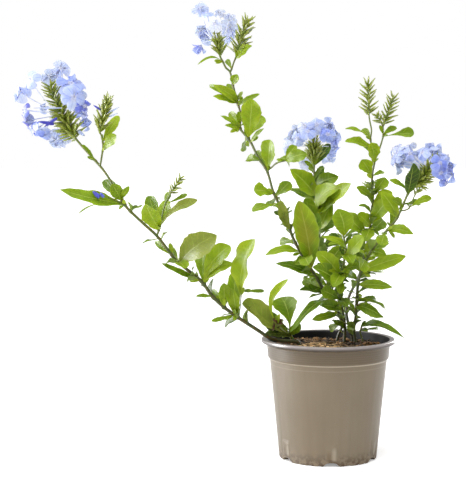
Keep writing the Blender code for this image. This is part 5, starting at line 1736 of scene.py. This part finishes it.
# %% Right head
RIGHT_FLOWERS = [
    (397, 153, -1, 0.50, 0.75, 0.4, 0.45), (396, 165, 1, 0.35, 0.75, 0.5, 0.35),
    (436, 147, 1, 0.65, 0.75, 0.5, 0.4), (448, 155, -1, 0.60, 0.7, 0.6, 0.5),
    (403, 160, 1, 0.50, 0.8, 0.5, 0.45), (407, 146, 1, 0.60, 0.75, 0.4, 0.3),
    (410, 153, -1, 0.60, 0.7, 0.7, 0.5), (417, 158, 1, 0.60, 0.9, 0.3, 0.4),
    (426, 150, 1, 0.65, 0.85, 0.4, 0.4), (432, 158, 1, 0.65, 0.85, 0.3, 0.6),
    (440, 163, -1, 0.65, 0.75, 0.35, 0.65), (446, 158, 1, 0.60, 0.7, 0.5, 0.45),
    (451, 166, 1, 0.60, 0.75, 0.5, 0.6), (441, 173, -1, 0.40, 0.7, 0.5, 0.7),
    (447, 184, -1, 0.40, 0.6, 0.9, 0.75), (452, 175, 1, 0.50, 0.7, 0.5, 0.75),
    (392, 158, 1, 0.45, 0.7, 0.5, 0.42), (393, 148, 1, 0.55, 0.65, 0.5, 0.3),
    (422, 152, -1, 0.65, 0.7, 0.6, 0.5),
]
grow_head("right", [(423.5, 176.6, -38), (430, 168, -39)],
          [(430.3, 167.6, -39), (435.5, 160.5, -39)], RIGHT_FLOWERS, 50,
          [(413, 188, -36), (418, 182, -37)], (60.0, 36.0, 1.2, 0.95), outward=0.3)

# %% [markdown]
# ## The low shoot
# One long leaf arches out over the right rim, and a short one lies beside it. Their
# rows have a large arch, which is what lifts a leaf's middle above its ends.

# %% Low shoot
LOW_STEMS = [([(360, 333, 14), (361, 329, 12), (362, 325, 10)], 1.3, 0.9)]
LOW_LEAVES = [
    (361, 327, 404, 337, -28, 7.5, 0.33, 0, 0.5, 0.3, 1.2),
    (361, 330, 381, 332, 14, 5, 0.28, 0, 0.3, 0.3),
]
grow_branch("low_right_shoot", LOW_STEMS, LOW_LEAVES, (0.0400, 0.0150))

# %% [markdown]
# ## Floor and light
# The plant stands on a plain white floor in a soft surround. A wide light from above and
# in front, and a weaker sheet from the left, shape the leaves. Two narrow strips give
# only sheen, the upright streaks on the plastic. The floor has a glow that only the eye
# meets, which keeps it as white as the surround.

# %% Stage
FLOOR_HALF = 30.0
AMBIENT = 0.55
GLOW = 0.3


def floor_finish():
    """Matt white with a barely seen mottle, and a glow that only the eye meets."""
    made = Finish("white paper floor", Emission_Strength=GLOW)
    made.set("Emission Color", made.add("ShaderNodeLightPath"))
    made.set("Base Color", made.mix(paint(250, 250, 250), paint(254, 254, 254), made.noise(3.0)))
    made.set("Roughness", 0.9)
    return made


floor_mesh = bpy.data.meshes.new("floor")
corner = FLOOR_HALF * np.array([[-1, -1, 0], [1, -1, 0], [1, 1, 0], [-1, 1, 0]])
floor_mesh.from_pydata(corner, [], [[0, 1, 2, 3]])
floor_mesh.materials.append(floor_finish().material)
floor = bpy.data.objects.new("floor", floor_mesh)
bpy.context.scene.collection.objects.link(floor)

world = bpy.data.worlds.new("soft surround")
bpy.context.scene.world = world
world.use_nodes = True
surround = world.node_tree.nodes["Background"]
surround.inputs["Color"].default_value = (1.0, 1.0, 1.0, 1.0)
seen_white = world.node_tree.nodes.new("ShaderNodeLightPath")
level = world.node_tree.nodes.new("ShaderNodeMapRange")
level.inputs["To Min"].default_value = AMBIENT
level.inputs["To Max"].default_value = 1.0
world.node_tree.links.new(seen_white.outputs["Is Camera Ray"], level.inputs["Value"])
world.node_tree.links.new(level.outputs["Result"], surround.inputs["Strength"])


def lamp(name, kind, place, aim, **settings):
    """Lamp of a kind at a place, facing a point."""
    light = bpy.data.lights.new(name, kind)
    for key, value in settings.items():
        setattr(light, key, value)
    made = bpy.data.objects.new(name, light)
    made.location = place
    way = Vector(aim) - Vector(place)
    made.rotation_euler = way.to_track_quat("-Z", "Y").to_euler()
    bpy.context.scene.collection.objects.link(made)
    return made


POT_MIDDLE = (0.0, 0.0, 0.07)
lamp("overhead sheet", "SUN", (-0.25, -0.5, 1.25), (0.0, 0.0, 0.0), energy=2.5,
     angle=np.radians(60.0))
lamp("left sheet", "AREA", (-1.2, 0.0, 0.5), POT_MIDDLE, shape="RECTANGLE", size=1.0, size_y=1.2,
     energy=7.0)
left_strip = lamp("left strip", "AREA", (-1.1, 0.10, 0.35), POT_MIDDLE, shape="RECTANGLE",
                  size=0.3, size_y=1.0, energy=70.0)
right_strip = lamp("right strip", "AREA", (0.62, 1.1, 0.35), POT_MIDDLE, shape="RECTANGLE",
                   size=0.3, size_y=1.0, energy=18.0)
left_strip.visible_diffuse = False
right_strip.visible_diffuse = False

print(f"{len(bpy.data.lights)} lamps in a surround of {AMBIENT}")

# %% [markdown]
# ## Camera
# The camera is the sheet's eye, so what was laid out by marks is seen where it was
# marked. Its lens follows from the sheet's reach and the longer side of the picture.

# %% Camera
PICTURE_SIDE = 481.0
eye = bpy.data.cameras.new("eye")
eye.sensor_width = 36.0
eye.lens = SHEET_REACH / PICTURE_SIDE * eye.sensor_width
eye.clip_start = 0.05
camera = bpy.data.objects.new("eye", eye)
camera.location = EYE
camera.rotation_euler = (np.pi / 2 - EYE_TILT, 0.0, 0.0)
bpy.context.scene.collection.objects.link(camera)
bpy.context.scene.camera = camera
bpy.context.scene.view_settings.view_transform = "Standard"
print(f"lens {eye.lens:.1f} mm")
